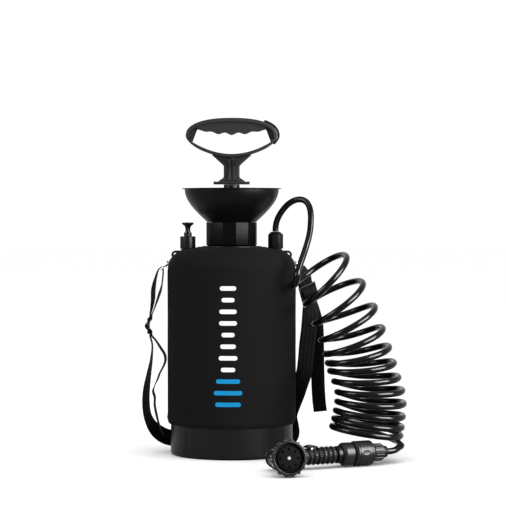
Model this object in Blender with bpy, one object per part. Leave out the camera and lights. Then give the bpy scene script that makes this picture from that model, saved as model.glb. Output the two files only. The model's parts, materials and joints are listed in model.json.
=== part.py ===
"""Portable pressure shower: a hand-pumped tank in a neoprene sleeve, with a filling funnel, a relief
valve, a wound hose, a quick connector, a spray handset and two carrying straps.

Metres, +Z up. The origin is on the floor under the tank's axis, and the front of the tank faces -Y.
"""

import math

import bmesh
import bpy
import numpy as np
from mathutils import Matrix, Vector

for leftover in list(bpy.data.objects):
    bpy.data.objects.remove(leftover, do_unlink=True)

MM = 0.001

# Clearances
SEAT_GAP = 0.3 * MM
SLIDING_GAP = 0.5 * MM
ROUND_SIDES = 28
INNER_SIDES = 18
SMALL_SIDES = 12

# Tank
TANK_RADIUS = 94.5 * MM
TANK_WALL = 3.0 * MM
TANK_EDGE_RADIUS = 4.0 * MM
SHOULDER_START_Z = 288.0 * MM
SHOULDER_RISE = 25.0 * MM
SHOULDER_REACH = 30.0 * MM
NECK_FLANGE_RADIUS = 46.0 * MM
NECK_FLANGE_RISE = 5.5 * MM
NECK_ROOT_Z = 316.5 * MM
NECK_RADIUS = 36.0 * MM
NECK_BORE = 31.0 * MM
NECK_TOP_Z = 356.0 * MM
PANEL_GROOVE_WIDTH = 1.2 * MM
PANEL_GROOVE_DEPTH = 0.8 * MM
PANEL_GROOVE_LOW_Z = 6.0 * MM
PANEL_FRONT_ANGLE = -9.0
PANEL_HALF_ANGLES = (38.0, 65.0)
PORT_OFFSET = TANK_RADIUS - 26.5 * MM
PORT_BOSS_RADIUS = 11.0 * MM
PORT_BORE = 4.6 * MM
PORT_TOP_Z = SHOULDER_START_Z + SHOULDER_RISE + 3.0 * MM
LUG_RIM = 6.6 * MM
LUG_LOW_Z = PORT_TOP_Z - 20.0 * MM
LUG_THICKNESS = 4.0 * MM
LUG_HOLE_X = TANK_RADIUS - 7.5 * MM
LUG_HOLE_Z = PORT_TOP_Z - 7.6 * MM
LUG_HOLE_RADIUS = 3.1 * MM

# Sleeve
SLEEVE_THICKNESS = 4.7 * MM
SLEEVE_HEM_Z = 48.0 * MM
SLEEVE_SLOT_HALF = 14.0 * MM
SLEEVE_SLOT_START = PORT_OFFSET - SLEEVE_SLOT_HALF
SLEEVE_SLOT_LOW_Z = 285.0 * MM

# Filling funnel and its collar
COLLAR_RADIUS = 39.8 * MM
COLLAR_FACETS = 12
COLLAR_TURN = 10.0
COLLAR_CHAMFER = 1.6 * MM
COLLAR_TOP_Z = 358.8 * MM
FUNNEL_WALL = 2.0 * MM
FUNNEL_FLOOR_RADIUS = 38.0 * MM
FUNNEL_MOUTH_RADIUS = 73.0 * MM
FUNNEL_TOP_Z = 410.2 * MM
FUNNEL_LIP = 4.0 * MM
FUNNEL_LIP_THICKNESS = 1.3 * MM

# Pump
PUMP_PLUG_LOW_Z = 333.0 * MM
PUMP_FLANGE_RADIUS = 35.5 * MM
PUMP_FLANGE_THICKNESS = 3.0 * MM
PUMP_GASKET_THICKNESS = 2.0 * MM
PUMP_HUB_RADIUS = 29.0 * MM
PUMP_HUB_LOBES = 12
PUMP_HUB_LOBE_DEPTH = 1.4 * MM
PUMP_HUB_TOP_Z = 381.0 * MM
PUMP_GUIDE_RADIUS = 12.4 * MM
PUMP_GUIDE_TOP_Z = 417.0 * MM
PUMP_ROD_BORE = 9.2 * MM
CYLINDER_RADIUS = 22.0 * MM
CYLINDER_WALL = 2.0 * MM
CYLINDER_LOW_Z = 120.0 * MM
CYLINDER_TOP_Z = 352.0 * MM
FOOT_SEAT_HEIGHT = 8.0 * MM
FOOT_PORTS = 6
FOOT_PORT_RADIUS = 2.2 * MM
FLAP_RADIUS = 15.0 * MM
FLAP_THICKNESS = 1.6 * MM
ROD_HALF_WIDTH = 8.0 * MM
ROD_RIB = 4.0 * MM
PISTON_LOW_Z = 132.0 * MM
PISTON_HEIGHT = 18.0 * MM
PISTON_GROOVE_DEPTH = 4.0 * MM
CUP_HEIGHT = 8.0 * MM

# Handle
HANDLE_CENTRE_Z = 492.0 * MM
HANDLE_HALF_WIDTH = 71.0 * MM
HANDLE_RISE = 28.0 * MM
HANDLE_DROP = 33.0 * MM
HANDLE_DEPTH = 24.0 * MM
HANDLE_EDGE = 2.2 * MM
HANDLE_WEB = 15.0 * MM
HANDLE_RIM = 5.5 * MM
OPENING_LOW_HALF = 60.6 * MM
OPENING_TOP_HALF = 53.2 * MM
OPENING_LOW_Z = 464.4 * MM
OPENING_SIDE_Z = 482.8 * MM
OPENING_TOP_Z = 502.3 * MM
GRIP_SAG = 5.0 * MM
FINGER_BUMPS = 5
FINGER_BUMP_DEPTH = 3.5 * MM
STEM_HALF_WIDTH = 12.4 * MM
STEM_RIB = 6.5 * MM
STEM_HALF_DEPTH = 10.5 * MM
GUSSET_HALF = 31.0 * MM
EAR_HALF_WIDTH = 28.0 * MM
EAR_HEIGHT = 5.0 * MM
EAR_DEPTH = 13.0 * MM
CLIP_THICKNESS = 3.4 * MM
CLIP_DEPTH = 18.0 * MM
CLIP_FROM_X = 49.0 * MM
CLIP_FROM_Z = 479.0 * MM

# Relief valve
RELIEF_RADIUS = 12.0 * MM
RELIEF_WALL = 2.6 * MM
RELIEF_HEIGHT = 18.8 * MM
RELIEF_BOSS_RADIUS = 6.1 * MM
RELIEF_BOSS_HEIGHT = 6.2 * MM
RELIEF_STEM_RADIUS = 2.0 * MM
RELIEF_NECK_RADIUS = 4.6 * MM
RELIEF_KNOB_RADIUS = 9.2 * MM
RELIEF_KNOB_RISE = 15.3 * MM
RELIEF_FLANGE_RADIUS = 6.0 * MM
RELIEF_FLANGE_RISE = 3.3 * MM
RELIEF_FLANGE_THICKNESS = 2.0 * MM
RELIEF_SPRING_WIRE = 0.6 * MM
RELIEF_SPRING_RADIUS = 4.2 * MM
RELIEF_SPRING_TURNS = 4
GASKET_THICKNESS = 1.6 * MM

# Hose outlet
HOSE_NUT_RADIUS = 12.6 * MM
HOSE_NUT_FACETS = 8
HOSE_NUT_HEIGHT = 26.0 * MM
HOSE_NUT_CHAMFER = 4.5 * MM
BARB_RADIUS = 3.8 * MM
BARB_BORE = 2.4 * MM
DIP_TUBE_RADIUS = 4.2 * MM
DIP_TUBE_BORE = 2.8 * MM
FILTER_RADIUS = 7.5 * MM
FILTER_HEIGHT = 16.0 * MM
FILTER_SLOTS = 6
FILTER_LOW_Z = 9.0 * MM

# Hose
HOSE_RADIUS = 4.8 * MM
HOSE_SIDES_STEP = 2
COIL_TURNS = 12.5
LOOP_POINTS = 20
COIL_HALF_DEPTH = 49.0 * MM

# Quick connector, along its own axis from its mouth
WAND_HEADING = 27.0
MOUTH_AT = (0.1613, -0.1695)
CONNECTOR_RADIUS = 18.4 * MM
COLLAR_RING_RADIUS = 17.0 * MM
COLLAR_RING_LENGTH = 17.0 * MM
COLLAR_RING_TRAVEL = 3.0 * MM
CONNECTOR_LENGTH = 30.0 * MM
CONNECTOR_BARREL_RADIUS = 12.4 * MM
CONNECTOR_BORE = 8.0 * MM
CONNECTOR_GROOVE = 3.0 * MM
CONNECTOR_NUT_RADIUS = 13.4 * MM
CONNECTOR_NUT_LENGTH = 16.0 * MM
CONNECTOR_CAP_RADIUS = 8.4 * MM
CONNECTOR_CAP_LENGTH = 8.0 * MM
NUT_RIBS = 14

# Handset
SPIGOT_LENGTH = 14.0 * MM
SPIGOT_BORE = 4.5 * MM
ADAPTER_RADIUS = 12.6 * MM
ADAPTER_LENGTH = 8.0 * MM
GRIP_CORE_RADIUS = 9.0 * MM
GRIP_RADIUS = 12.2 * MM
GRIP_LENGTH = 54.0 * MM
GRIP_RIBS = 7
WAND_LENGTH = 104.7 * MM
BARREL_RADIUS = 13.0 * MM
BARREL_REAR = 14.0 * MM
HEAD_LENGTH = 77.2 * MM
HEAD_HEADING = -77.4
HEAD_TILT = 6.9
HEAD_RADIUS = 22.5 * MM
HEAD_SHELL_LENGTH = 20.0 * MM
DIAL_RADIUS = 26.6 * MM
DIAL_LENGTH = 17.0 * MM
DIAL_TAPER = 0.13
DIAL_KNOBS = 16
DIAL_KNOB_RADIUS = 2.2 * MM
FACE_RADIUS = 20.4 * MM
FACE_RECESS = 3.5 * MM
FACE_THICKNESS = 3.0 * MM
PATTERN_HOLES = 8
PATTERN_HOLE_RADIUS = 2.0 * MM
PATTERN_CIRCLE = 13.5 * MM
CENTRE_CAP_RADIUS = 2.9 * MM
REAR_CAP_RADIUS = 14.5 * MM
REAR_CAP_LENGTH = 9.0 * MM
LEVER_PIVOT_X = -50.0 * MM
LEVER_HALF_LENGTH = 10.0 * MM
LEVER_WIDTH = 10.0 * MM
LEVER_TOP = 16.5 * MM
LEVER_PIN_RADIUS = 1.5 * MM

# Snap hooks, from the lug's hole towards the eye
HOOK_WIRE = 1.5 * MM
HOOK_HALF_WIDTH = 5.2 * MM
HOOK_LEG = 15.0 * MM
HOOK_BASE_HEIGHT = 4.0 * MM
HOOK_BASE_HALF = 2.6 * MM
GATE_PIN_RADIUS = 0.8 * MM
HOOK_BARREL_RADIUS = 3.2 * MM
HOOK_BARREL_LENGTH = 5.0 * MM
GATE_WIRE = 1.1 * MM
EYE_BAR = 2.4 * MM
EYE_INNER_WIDTH = 26.6 * MM
EYE_OPENING = 3.6 * MM
LEFT_HOOK_LEAN = 45.0
RIGHT_HOOK_LEAN = -43.0
RIGHT_EYE_TURN = 68.0

# Straps
WEBBING_WIDTH = 25.0 * MM
WEBBING_THICKNESS = 1.4 * MM
SLIDER_BAR_PITCH = 11.0 * MM
SLIDER_BAR = 2.6 * MM
SLIDER_RAIL = 2.6 * MM
ANCHOR_ANGLE = 42.0
ANCHOR_LOW_Z = 2.6 * MM
ANCHOR_RAIL = 2.6 * MM

# Sizes that follow
SHOULDER_CENTRE = TANK_RADIUS - SHOULDER_REACH
SHOULDER_TOP_Z = SHOULDER_START_Z + SHOULDER_RISE
NECK_FLANGE_TOP_Z = NECK_ROOT_Z + NECK_FLANGE_RISE
SLEEVE_OUTER = TANK_RADIUS + SEAT_GAP + SLEEVE_THICKNESS
FUNNEL_FLOOR_Z = COLLAR_TOP_Z + SEAT_GAP
GASKET_Z = FUNNEL_FLOOR_Z + FUNNEL_WALL + SEAT_GAP
PUMP_FLANGE_Z = GASKET_Z + PUMP_GASKET_THICKNESS + SEAT_GAP
CYLINDER_BORE = CYLINDER_RADIUS - CYLINDER_WALL
PISTON_RADIUS = CYLINDER_BORE - 0.9 * MM
EAR_LOW_Z = PUMP_GUIDE_TOP_Z + SEAT_GAP
RELIEF_LOW_Z = PORT_TOP_Z + 2 * SEAT_GAP + GASKET_THICKNESS
RELIEF_TOP_Z = RELIEF_LOW_Z + RELIEF_HEIGHT
RELIEF_BOSS_TOP_Z = RELIEF_TOP_Z + RELIEF_BOSS_HEIGHT
RELIEF_KNOB_TOP_Z = RELIEF_BOSS_TOP_Z + RELIEF_KNOB_RISE
RELIEF_FLANGE_Z = RELIEF_LOW_Z + RELIEF_FLANGE_RISE
HOSE_NUT_LOW_Z = PORT_TOP_Z + 2 * SEAT_GAP + GASKET_THICKNESS
HOSE_NUT_TOP_Z = HOSE_NUT_LOW_Z + HOSE_NUT_HEIGHT
WAND_Z = CONNECTOR_RADIUS + SEAT_GAP


# Making and placing solids
def finish(name, colour, roughness, metallic=0.0):
    material = bpy.data.materials.new(name)
    material.use_nodes = True
    shader = material.node_tree.nodes["Principled BSDF"]
    shader.inputs["Base Color"].default_value = (*colour, 1.0)
    shader.inputs["Roughness"].default_value = roughness
    shader.inputs["Metallic"].default_value = metallic
    return material


def add(name, mesh, colour, roughness, metallic=0.0, smooth_angle=35.0):
    """A named object with its own material, shaded smooth below the given edge angle."""
    obj = bpy.data.objects.new(name, mesh)
    bpy.context.scene.collection.objects.link(obj)
    mesh.materials.clear()
    mesh.materials.append(finish(name + "_finish", colour, roughness, metallic))
    mesh.shade_smooth()
    mesh.set_sharp_from_angle(angle=math.radians(smooth_angle))
    return obj


def mesh_of(bm, name="shape"):
    bmesh.ops.remove_doubles(bm, verts=bm.verts[:], dist=1e-7)
    bmesh.ops.recalc_face_normals(bm, faces=bm.faces[:])
    mesh = bpy.data.meshes.new(name)
    bm.to_mesh(mesh)
    bm.free()
    return mesh


def lathe(profile, sides=ROUND_SIDES, start=0.0):
    """A closed (radius, z) outline turned about Z."""
    bm = bmesh.new()
    verts = [bm.verts.new((r, 0.0, z)) for r, z in profile]
    edges = [bm.edges.new(pair) for pair in zip(verts, verts[1:] + verts[:1])]
    bmesh.ops.spin(
        bm,
        geom=verts + edges,
        axis=(0, 0, 1),
        cent=(0, 0, 0),
        angle=2 * math.pi,
        steps=sides,
        use_merge=True,
    )
    bmesh.ops.remove_doubles(bm, verts=bm.verts[:], dist=1e-7)
    on_axis = [edge for edge in bm.edges if not edge.link_faces]
    bmesh.ops.delete(bm, geom=on_axis, context="EDGES")
    bmesh.ops.rotate(bm, verts=bm.verts[:], matrix=Matrix.Rotation(start, 3, "Z"))
    return mesh_of(bm)


def slab(outline, thickness, holes=(), levels=None):
    """An (x, z) outline with straight holes, given a thickness along Y.

    Levels, where given, are (y, outline) pairs from front to back that replace the plain outline.
    """
    levels = levels or [(-thickness / 2, outline), (thickness / 2, outline)]
    bm = bmesh.new()

    def loop(y, points):
        verts = [bm.verts.new((x, y, z)) for x, z in points]
        return verts, [bm.edges.new(pair) for pair in zip(verts, verts[1:] + verts[:1])]

    def walls(a, b):
        for k in range(len(a)):
            bm.faces.new((a[k - 1], a[k], b[k], b[k - 1]))

    rims = [loop(y, points) for y, points in levels]
    for (a, _), (b, _) in zip(rims, rims[1:]):
        walls(a, b)
    ends = [rims[0][1][:], rims[-1][1][:]]
    for hole in holes:
        front = loop(levels[0][0], hole)
        back = loop(levels[-1][0], hole)
        walls(front[0], back[0])
        ends[0] += front[1]
        ends[1] += back[1]
    for edges, (rim, _) in zip(ends, (rims[0], rims[-1])):
        if holes:
            bmesh.ops.triangle_fill(bm, use_beauty=True, use_dissolve=False, edges=edges)
        else:
            bm.faces.new(rim)
    return mesh_of(bm)


def block(size, centre):
    bm = bmesh.new()
    bmesh.ops.create_cube(bm, size=1.0)
    bmesh.ops.scale(bm, verts=bm.verts[:], vec=size)
    bmesh.ops.translate(bm, verts=bm.verts[:], vec=centre)
    return mesh_of(bm)


def rod(radius, low, high, sides=SMALL_SIDES):
    return lathe([(0, low), (0, high), (radius, high), (radius, low)], sides)


def moved(mesh, matrix):
    mesh.transform(matrix)
    if matrix.determinant() < 0:
        mesh.flip_normals()
    return mesh


def shift(x=0.0, y=0.0, z=0.0):
    return Matrix.Translation((x, y, z))


def turn(degrees, axis):
    return Matrix.Rotation(math.radians(degrees), 4, axis)


def fused(mesh, others, operation, solver="EXACT"):
    """The mesh with others joined to it, or cut from it, one Boolean after another."""
    body = bpy.data.objects.new("body", mesh)
    bpy.context.scene.collection.objects.link(body)
    tools = []
    for other in others:
        tool = bpy.data.objects.new("tool", other)
        bpy.context.scene.collection.objects.link(tool)
        step = body.modifiers.new("Step", "BOOLEAN")
        step.solver = solver
        step.operation = operation
        step.object = tool
        tools.append(tool)
    graph = bpy.context.evaluated_depsgraph_get()
    result = bpy.data.meshes.new_from_object(body.evaluated_get(graph))
    for obj in [body, *tools]:
        bpy.data.objects.remove(obj, do_unlink=True)
    return result


def joined(mesh, *others):
    return fused(mesh, others, "UNION")


def cut(mesh, *others):
    return fused(mesh, others, "DIFFERENCE")


def together(*meshes):
    """Several meshes in one, for cutters that don't touch each other."""
    bm = bmesh.new()
    for mesh in meshes:
        bm.from_mesh(mesh)
    return mesh_of(bm)


def axis_frame(name, matrix, parent=None):
    """An empty that holds a group in place, on the axis that the group moves about."""
    empty = bpy.data.objects.new(name, None)
    bpy.context.scene.collection.objects.link(empty)
    empty.parent = parent
    empty.matrix_local = matrix
    return empty


def under(parent, *objects):
    for obj in objects:
        obj.parent = parent


def ring_points(radius, count, start=0.0):
    angles = [start + 2 * math.pi * k / count for k in range(count)]
    return [(radius * math.cos(a), radius * math.sin(a)) for a in angles]


def through(at, values, where):
    """A smooth curve through the values at their parameters, read at the wanted parameters."""
    slope = np.gradient(values, at, axis=0)
    k = np.clip(np.searchsorted(at, where, "right") - 1, 0, len(at) - 2)
    span = (at[k + 1] - at[k])[:, None]
    s = (where - at[k])[:, None] / span
    return (
        (2 * s**3 - 3 * s**2 + 1) * values[k]
        + (s**3 - 2 * s**2 + s) * span * slope[k]
        + (3 * s**2 - 2 * s**3) * values[k + 1]
        + (s**3 - s**2) * span * slope[k + 1]
    )


def run_along(points):
    """Distance of each point from the first, along the line."""
    steps = np.linalg.norm(np.diff(np.array(points)[:, :3], axis=0), axis=1)
    return np.concatenate([[0.0], np.cumsum(steps)])


def smooth(points, count):
    points = np.array(points, float)
    at = run_along(points)
    return through(at, points, np.linspace(0, at[-1], count))


def length_of(points):
    return float(run_along(points)[-1])


def tube(name, points, radius, resolution, colour, roughness, metallic=0.0):
    """A filled round tube along points, as a curve object."""
    curve = bpy.data.curves.new(name, "CURVE")
    curve.dimensions = "3D"
    curve.bevel_depth = radius
    curve.bevel_resolution = resolution
    curve.use_fill_caps = True
    line = curve.splines.new("POLY")
    line.points.add(len(points) - 1)
    for point, place in zip(line.points, points):
        point.co = (*[float(v) for v in place], 1.0)
    obj = bpy.data.objects.new(name, curve)
    bpy.context.scene.collection.objects.link(obj)
    curve.materials.append(finish(name + "_finish", colour, roughness, metallic))
    return obj


def wire_mesh(points, radius, resolution):
    """The same tube as a closed mesh, for a piece that is joined to others."""
    obj = tube("wire", points, radius, resolution, (0, 0, 0), 0.5)
    graph = bpy.context.evaluated_depsgraph_get()
    mesh = bpy.data.meshes.new_from_object(obj.evaluated_get(graph))
    bpy.data.objects.remove(obj, do_unlink=True)
    bm = bmesh.new()
    bm.from_mesh(mesh)
    bmesh.ops.remove_doubles(bm, verts=bm.verts[:], dist=2e-6)
    return mesh_of(bm)


def ribbon(route, width, thickness, step=11 * MM):
    """A flat band along a route of (point, direction of its width), as a closed mesh."""
    rows = [[*place, *across] for place, across in route]
    for before, row in zip(rows, rows[1:]):
        if np.dot(before[3:], row[3:]) < 0:
            row[3:] = [-v for v in row[3:]]
    rows = np.array(rows, float)
    at = run_along(rows)
    where = [
        np.linspace(a, b, max(1, math.ceil((b - a) / step)), endpoint=False)
        for a, b in zip(at, at[1:])
    ]
    rows = through(at, rows, np.concatenate([*where, at[-1:]]))
    ahead = np.diff(rows[:, :3], axis=0)
    ahead /= np.linalg.norm(ahead, axis=1)[:, None]
    along = np.vstack([ahead[:1], ahead[1:] + ahead[:-1], ahead[-1:]])
    bm = bmesh.new()
    sections = []
    for place, forward, across in zip(rows[:, :3], along, rows[:, 3:]):
        forward = Vector(forward).normalized()
        across = Vector(across)
        across = (across - forward * across.dot(forward)).normalized()
        normal = forward.cross(across)
        sections.append(
            [
                bm.verts.new(Vector(place) + across * (i * width / 2) + normal * (j * thickness / 2))
                for i, j in ((-1, -1), (1, -1), (1, 1), (-1, 1))
            ]
        )
    for a, b in zip(sections, sections[1:]):
        for k in range(4):
            bm.faces.new((a[k - 1], a[k], b[k], b[k - 1]))
    bm.faces.new(sections[0])
    bm.faces.new(sections[-1])
    return mesh_of(bm)


BLACK_PLASTIC = ((0.022, 0.022, 0.023), 0.42)
SATIN_PLASTIC = ((0.030, 0.030, 0.032), 0.34)
RUBBER = ((0.014, 0.014, 0.014), 0.75)
STEEL = ((0.62, 0.63, 0.65), 0.22, 1.0)


# The tank
def shoulder_z(radius, offset=0.0):
    """Height of the shoulder, or of a skin that lies outside it by the offset."""
    reach = SHOULDER_REACH + offset
    rise = SHOULDER_RISE + offset
    part = min(max((radius - SHOULDER_CENTRE) / reach, 0.0), 1.0)
    return SHOULDER_START_Z + rise * math.sqrt(1 - part**2)


def shoulder_line(offset, inner_radius, inner_z, steps=5):
    """From the wall up over the shoulder to the neck, outside the tank by the offset."""
    angles = [math.radians(90 * k / steps) for k in range(steps + 1)]
    arc = [
        (
            SHOULDER_CENTRE + (SHOULDER_REACH + offset) * math.cos(a),
            SHOULDER_START_Z + (SHOULDER_RISE + offset) * math.sin(a),
        )
        for a in angles
    ]
    return [*arc, (inner_radius, inner_z)]


def panel_angles():
    """Angles of the base's moulded panel lines, mirrored to the back."""
    front = [PANEL_FRONT_ANGLE + s * a for a in PANEL_HALF_ANGLES for s in (-1, 1)]
    return [a - 90 for a in front] + [90 - a for a in front]


def panel_cutter(degrees):
    height = SLEEVE_HEM_Z - PANEL_GROOVE_LOW_Z - SEAT_GAP
    depth = 2 * PANEL_GROOVE_DEPTH
    centre = (TANK_RADIUS, 0, PANEL_GROOVE_LOW_Z + height / 2)
    return moved(block((depth, PANEL_GROOVE_WIDTH, height), centre), turn(degrees, "Z"))


def anchor_bracket(degrees):
    """The moulded bridge at the back of the base that the strap's end is sewn around."""
    low = ANCHOR_LOW_Z
    high = low + 2 * ANCHOR_RAIL + WEBBING_WIDTH + 2 * SEAT_GAP
    start, end = TANK_RADIUS - TANK_WALL / 2, anchor_bar_radius() + SLIDER_BAR / 2
    frame = [(start, low), (end, low), (end, high), (start, high)]
    window_high = high - ANCHOR_RAIL
    window_low = low + ANCHOR_RAIL
    inner = end - SLIDER_BAR
    window = [
        (TANK_RADIUS + SEAT_GAP, window_low),
        (inner, window_low),
        (inner, window_high),
        (TANK_RADIUS + SEAT_GAP, window_high),
    ]
    return moved(slab(frame, SLIDER_BAR, [window]), turn(degrees, "Z"))


def anchor_bar_radius():
    """Middle of the bracket's bar: the strap passes behind it with room for two layers."""
    return TANK_RADIUS + SLIDER_BAR / 2 + WEBBING_THICKNESS + 2.4 * MM


def make_tank():
    wall = TANK_WALL
    edge = TANK_EDGE_RADIUS
    corner = [
        (TANK_RADIUS - edge + edge * math.sin(a), edge - edge * math.cos(a))
        for a in (math.radians(45 * k) for k in range(3))
    ]
    outside = [(0, 0), *corner, *shoulder_line(0, NECK_FLANGE_RADIUS, NECK_ROOT_Z)]
    neck = [
        (NECK_FLANGE_RADIUS, NECK_FLANGE_TOP_Z),
        (NECK_RADIUS, NECK_FLANGE_TOP_Z),
        (NECK_RADIUS, NECK_TOP_Z),
        (NECK_BORE, NECK_TOP_Z),
    ]
    inside = shoulder_line(-wall, NECK_BORE, NECK_ROOT_Z - wall, 3)[::-1]
    floor = [(TANK_RADIUS - wall, wall), (0, wall)]
    mesh = lathe([*outside, *neck, *inside, *floor], ROUND_SIDES)
    bosses = []
    for side in (-1, 1):
        port = shift(side * PORT_OFFSET)
        low = shoulder_z(PORT_OFFSET) - wall - 4 * MM
        bosses.append(moved(rod(PORT_BOSS_RADIUS, low, PORT_TOP_Z), port))
        bosses.append(lug(side))
    for side in (-1, 1):
        bosses.append(anchor_bracket(90 + side * (90 - ANCHOR_ANGLE)))
    mesh = joined(mesh, *bosses)
    bores = [
        moved(rod(PORT_BORE, SHOULDER_START_Z, PORT_TOP_Z + wall, 16), shift(side * PORT_OFFSET))
        for side in (-1, 1)
    ]
    mesh = cut(mesh, together(*[panel_cutter(a) for a in panel_angles()]), together(*bores))
    return add("tank_shell", mesh, *SATIN_PLASTIC)


def lug(side):
    """The upright tab beside a port, with the hole that the strap's hook goes through."""
    root_x = PORT_OFFSET + PORT_BOSS_RADIUS / 2
    rim = [
        (LUG_HOLE_X + LUG_RIM * math.cos(a), LUG_HOLE_Z + LUG_RIM * math.sin(a))
        for a in (math.radians(-60 + 25 * k) for k in range(7))
    ]
    outline = [(root_x, LUG_LOW_Z), (LUG_HOLE_X, LUG_LOW_Z), *rim, (root_x, LUG_HOLE_Z + LUG_RIM)]
    hole = [(LUG_HOLE_X + x, LUG_HOLE_Z + z) for x, z in ring_points(LUG_HOLE_RADIUS, 12)]
    mesh = slab(outline, LUG_THICKNESS, [hole])
    return mesh if side > 0 else moved(mesh, turn(180, "Z"))


# The sleeve
def make_sleeve():
    inner_gap = SEAT_GAP
    outer_gap = SEAT_GAP + SLEEVE_THICKNESS
    rim = NECK_FLANGE_RADIUS + 1.5 * MM
    inner = shoulder_line(inner_gap, rim, NECK_ROOT_Z + SEAT_GAP * 2)
    outer = shoulder_line(outer_gap, rim, NECK_ROOT_Z + SLEEVE_THICKNESS)
    hem = [
        (TANK_RADIUS + inner_gap, SLEEVE_HEM_Z),
        (TANK_RADIUS + outer_gap - 1.5 * MM, SLEEVE_HEM_Z),
        (TANK_RADIUS + outer_gap, SLEEVE_HEM_Z + 2.5 * MM),
    ]
    mesh = lathe([*hem, *outer, *inner[::-1]], ROUND_SIDES)
    far = 2 * TANK_RADIUS
    half = SLEEVE_SLOT_HALF
    start = SLEEVE_SLOT_START + half
    nose = [
        (start - half * math.cos(a), half * math.sin(a))
        for a in (math.radians(90 - 180 * k / 8) for k in range(9))
    ]
    height = 60 * MM
    plan = [*nose, (far, -half), (far, half)]
    slot = moved(slab(plan, height), turn(-90, "X"))
    slot = moved(slot, shift(z=SLEEVE_SLOT_LOW_Z + height / 2))
    other = moved(slot.copy(), turn(180, "Z"))
    return add("sleeve", cut(mesh, slot, other), (0.012, 0.012, 0.013), 0.85)


# The funnel and the collar that holds it on the neck
def funnel_curve(inset):
    """The bowl's swelling side, from its foot up to its mouth, moved inward by the inset."""
    swell = FUNNEL_MOUTH_RADIUS - FUNNEL_FLOOR_RADIUS
    low = FUNNEL_FLOOR_Z + inset
    steps = 8
    return [
        (
            FUNNEL_FLOOR_RADIUS - inset + swell * math.sin(math.radians(90 * k / steps)),
            low + (FUNNEL_TOP_Z - low) * k / steps,
        )
        for k in range(steps)
    ]


def make_funnel():
    wall = FUNNEL_WALL
    low, top = FUNNEL_FLOOR_Z, FUNNEL_TOP_Z + FUNNEL_LIP_THICKNESS
    mouth = FUNNEL_MOUTH_RADIUS
    lip = mouth + FUNNEL_LIP
    hole = NECK_BORE + SLIDING_GAP
    inner = funnel_curve(wall)
    rim = [(mouth, FUNNEL_TOP_Z), (lip, FUNNEL_TOP_Z), (lip, top), (mouth - wall, top)]
    profile = [(hole, low), *funnel_curve(0.0), *rim, *inner[::-1], (hole, low + wall)]
    add("filling_funnel", lathe(profile, ROUND_SIDES), *BLACK_PLASTIC)

    base = NECK_FLANGE_TOP_Z + SEAT_GAP
    chamfer = COLLAR_CHAMFER
    outline = [
        (0, base),
        (0, COLLAR_TOP_Z),
        (COLLAR_RADIUS, COLLAR_TOP_Z),
        (COLLAR_RADIUS, base + chamfer),
        (COLLAR_RADIUS - chamfer, base),
    ]
    collar = lathe(outline[::-1], COLLAR_FACETS, math.radians(COLLAR_TURN))
    bore = rod(NECK_RADIUS + SEAT_GAP, base - MM, COLLAR_TOP_Z + MM, ROUND_SIDES)
    add("neck_collar", cut(collar, bore), *SATIN_PLASTIC, smooth_angle=8.0)


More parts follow.
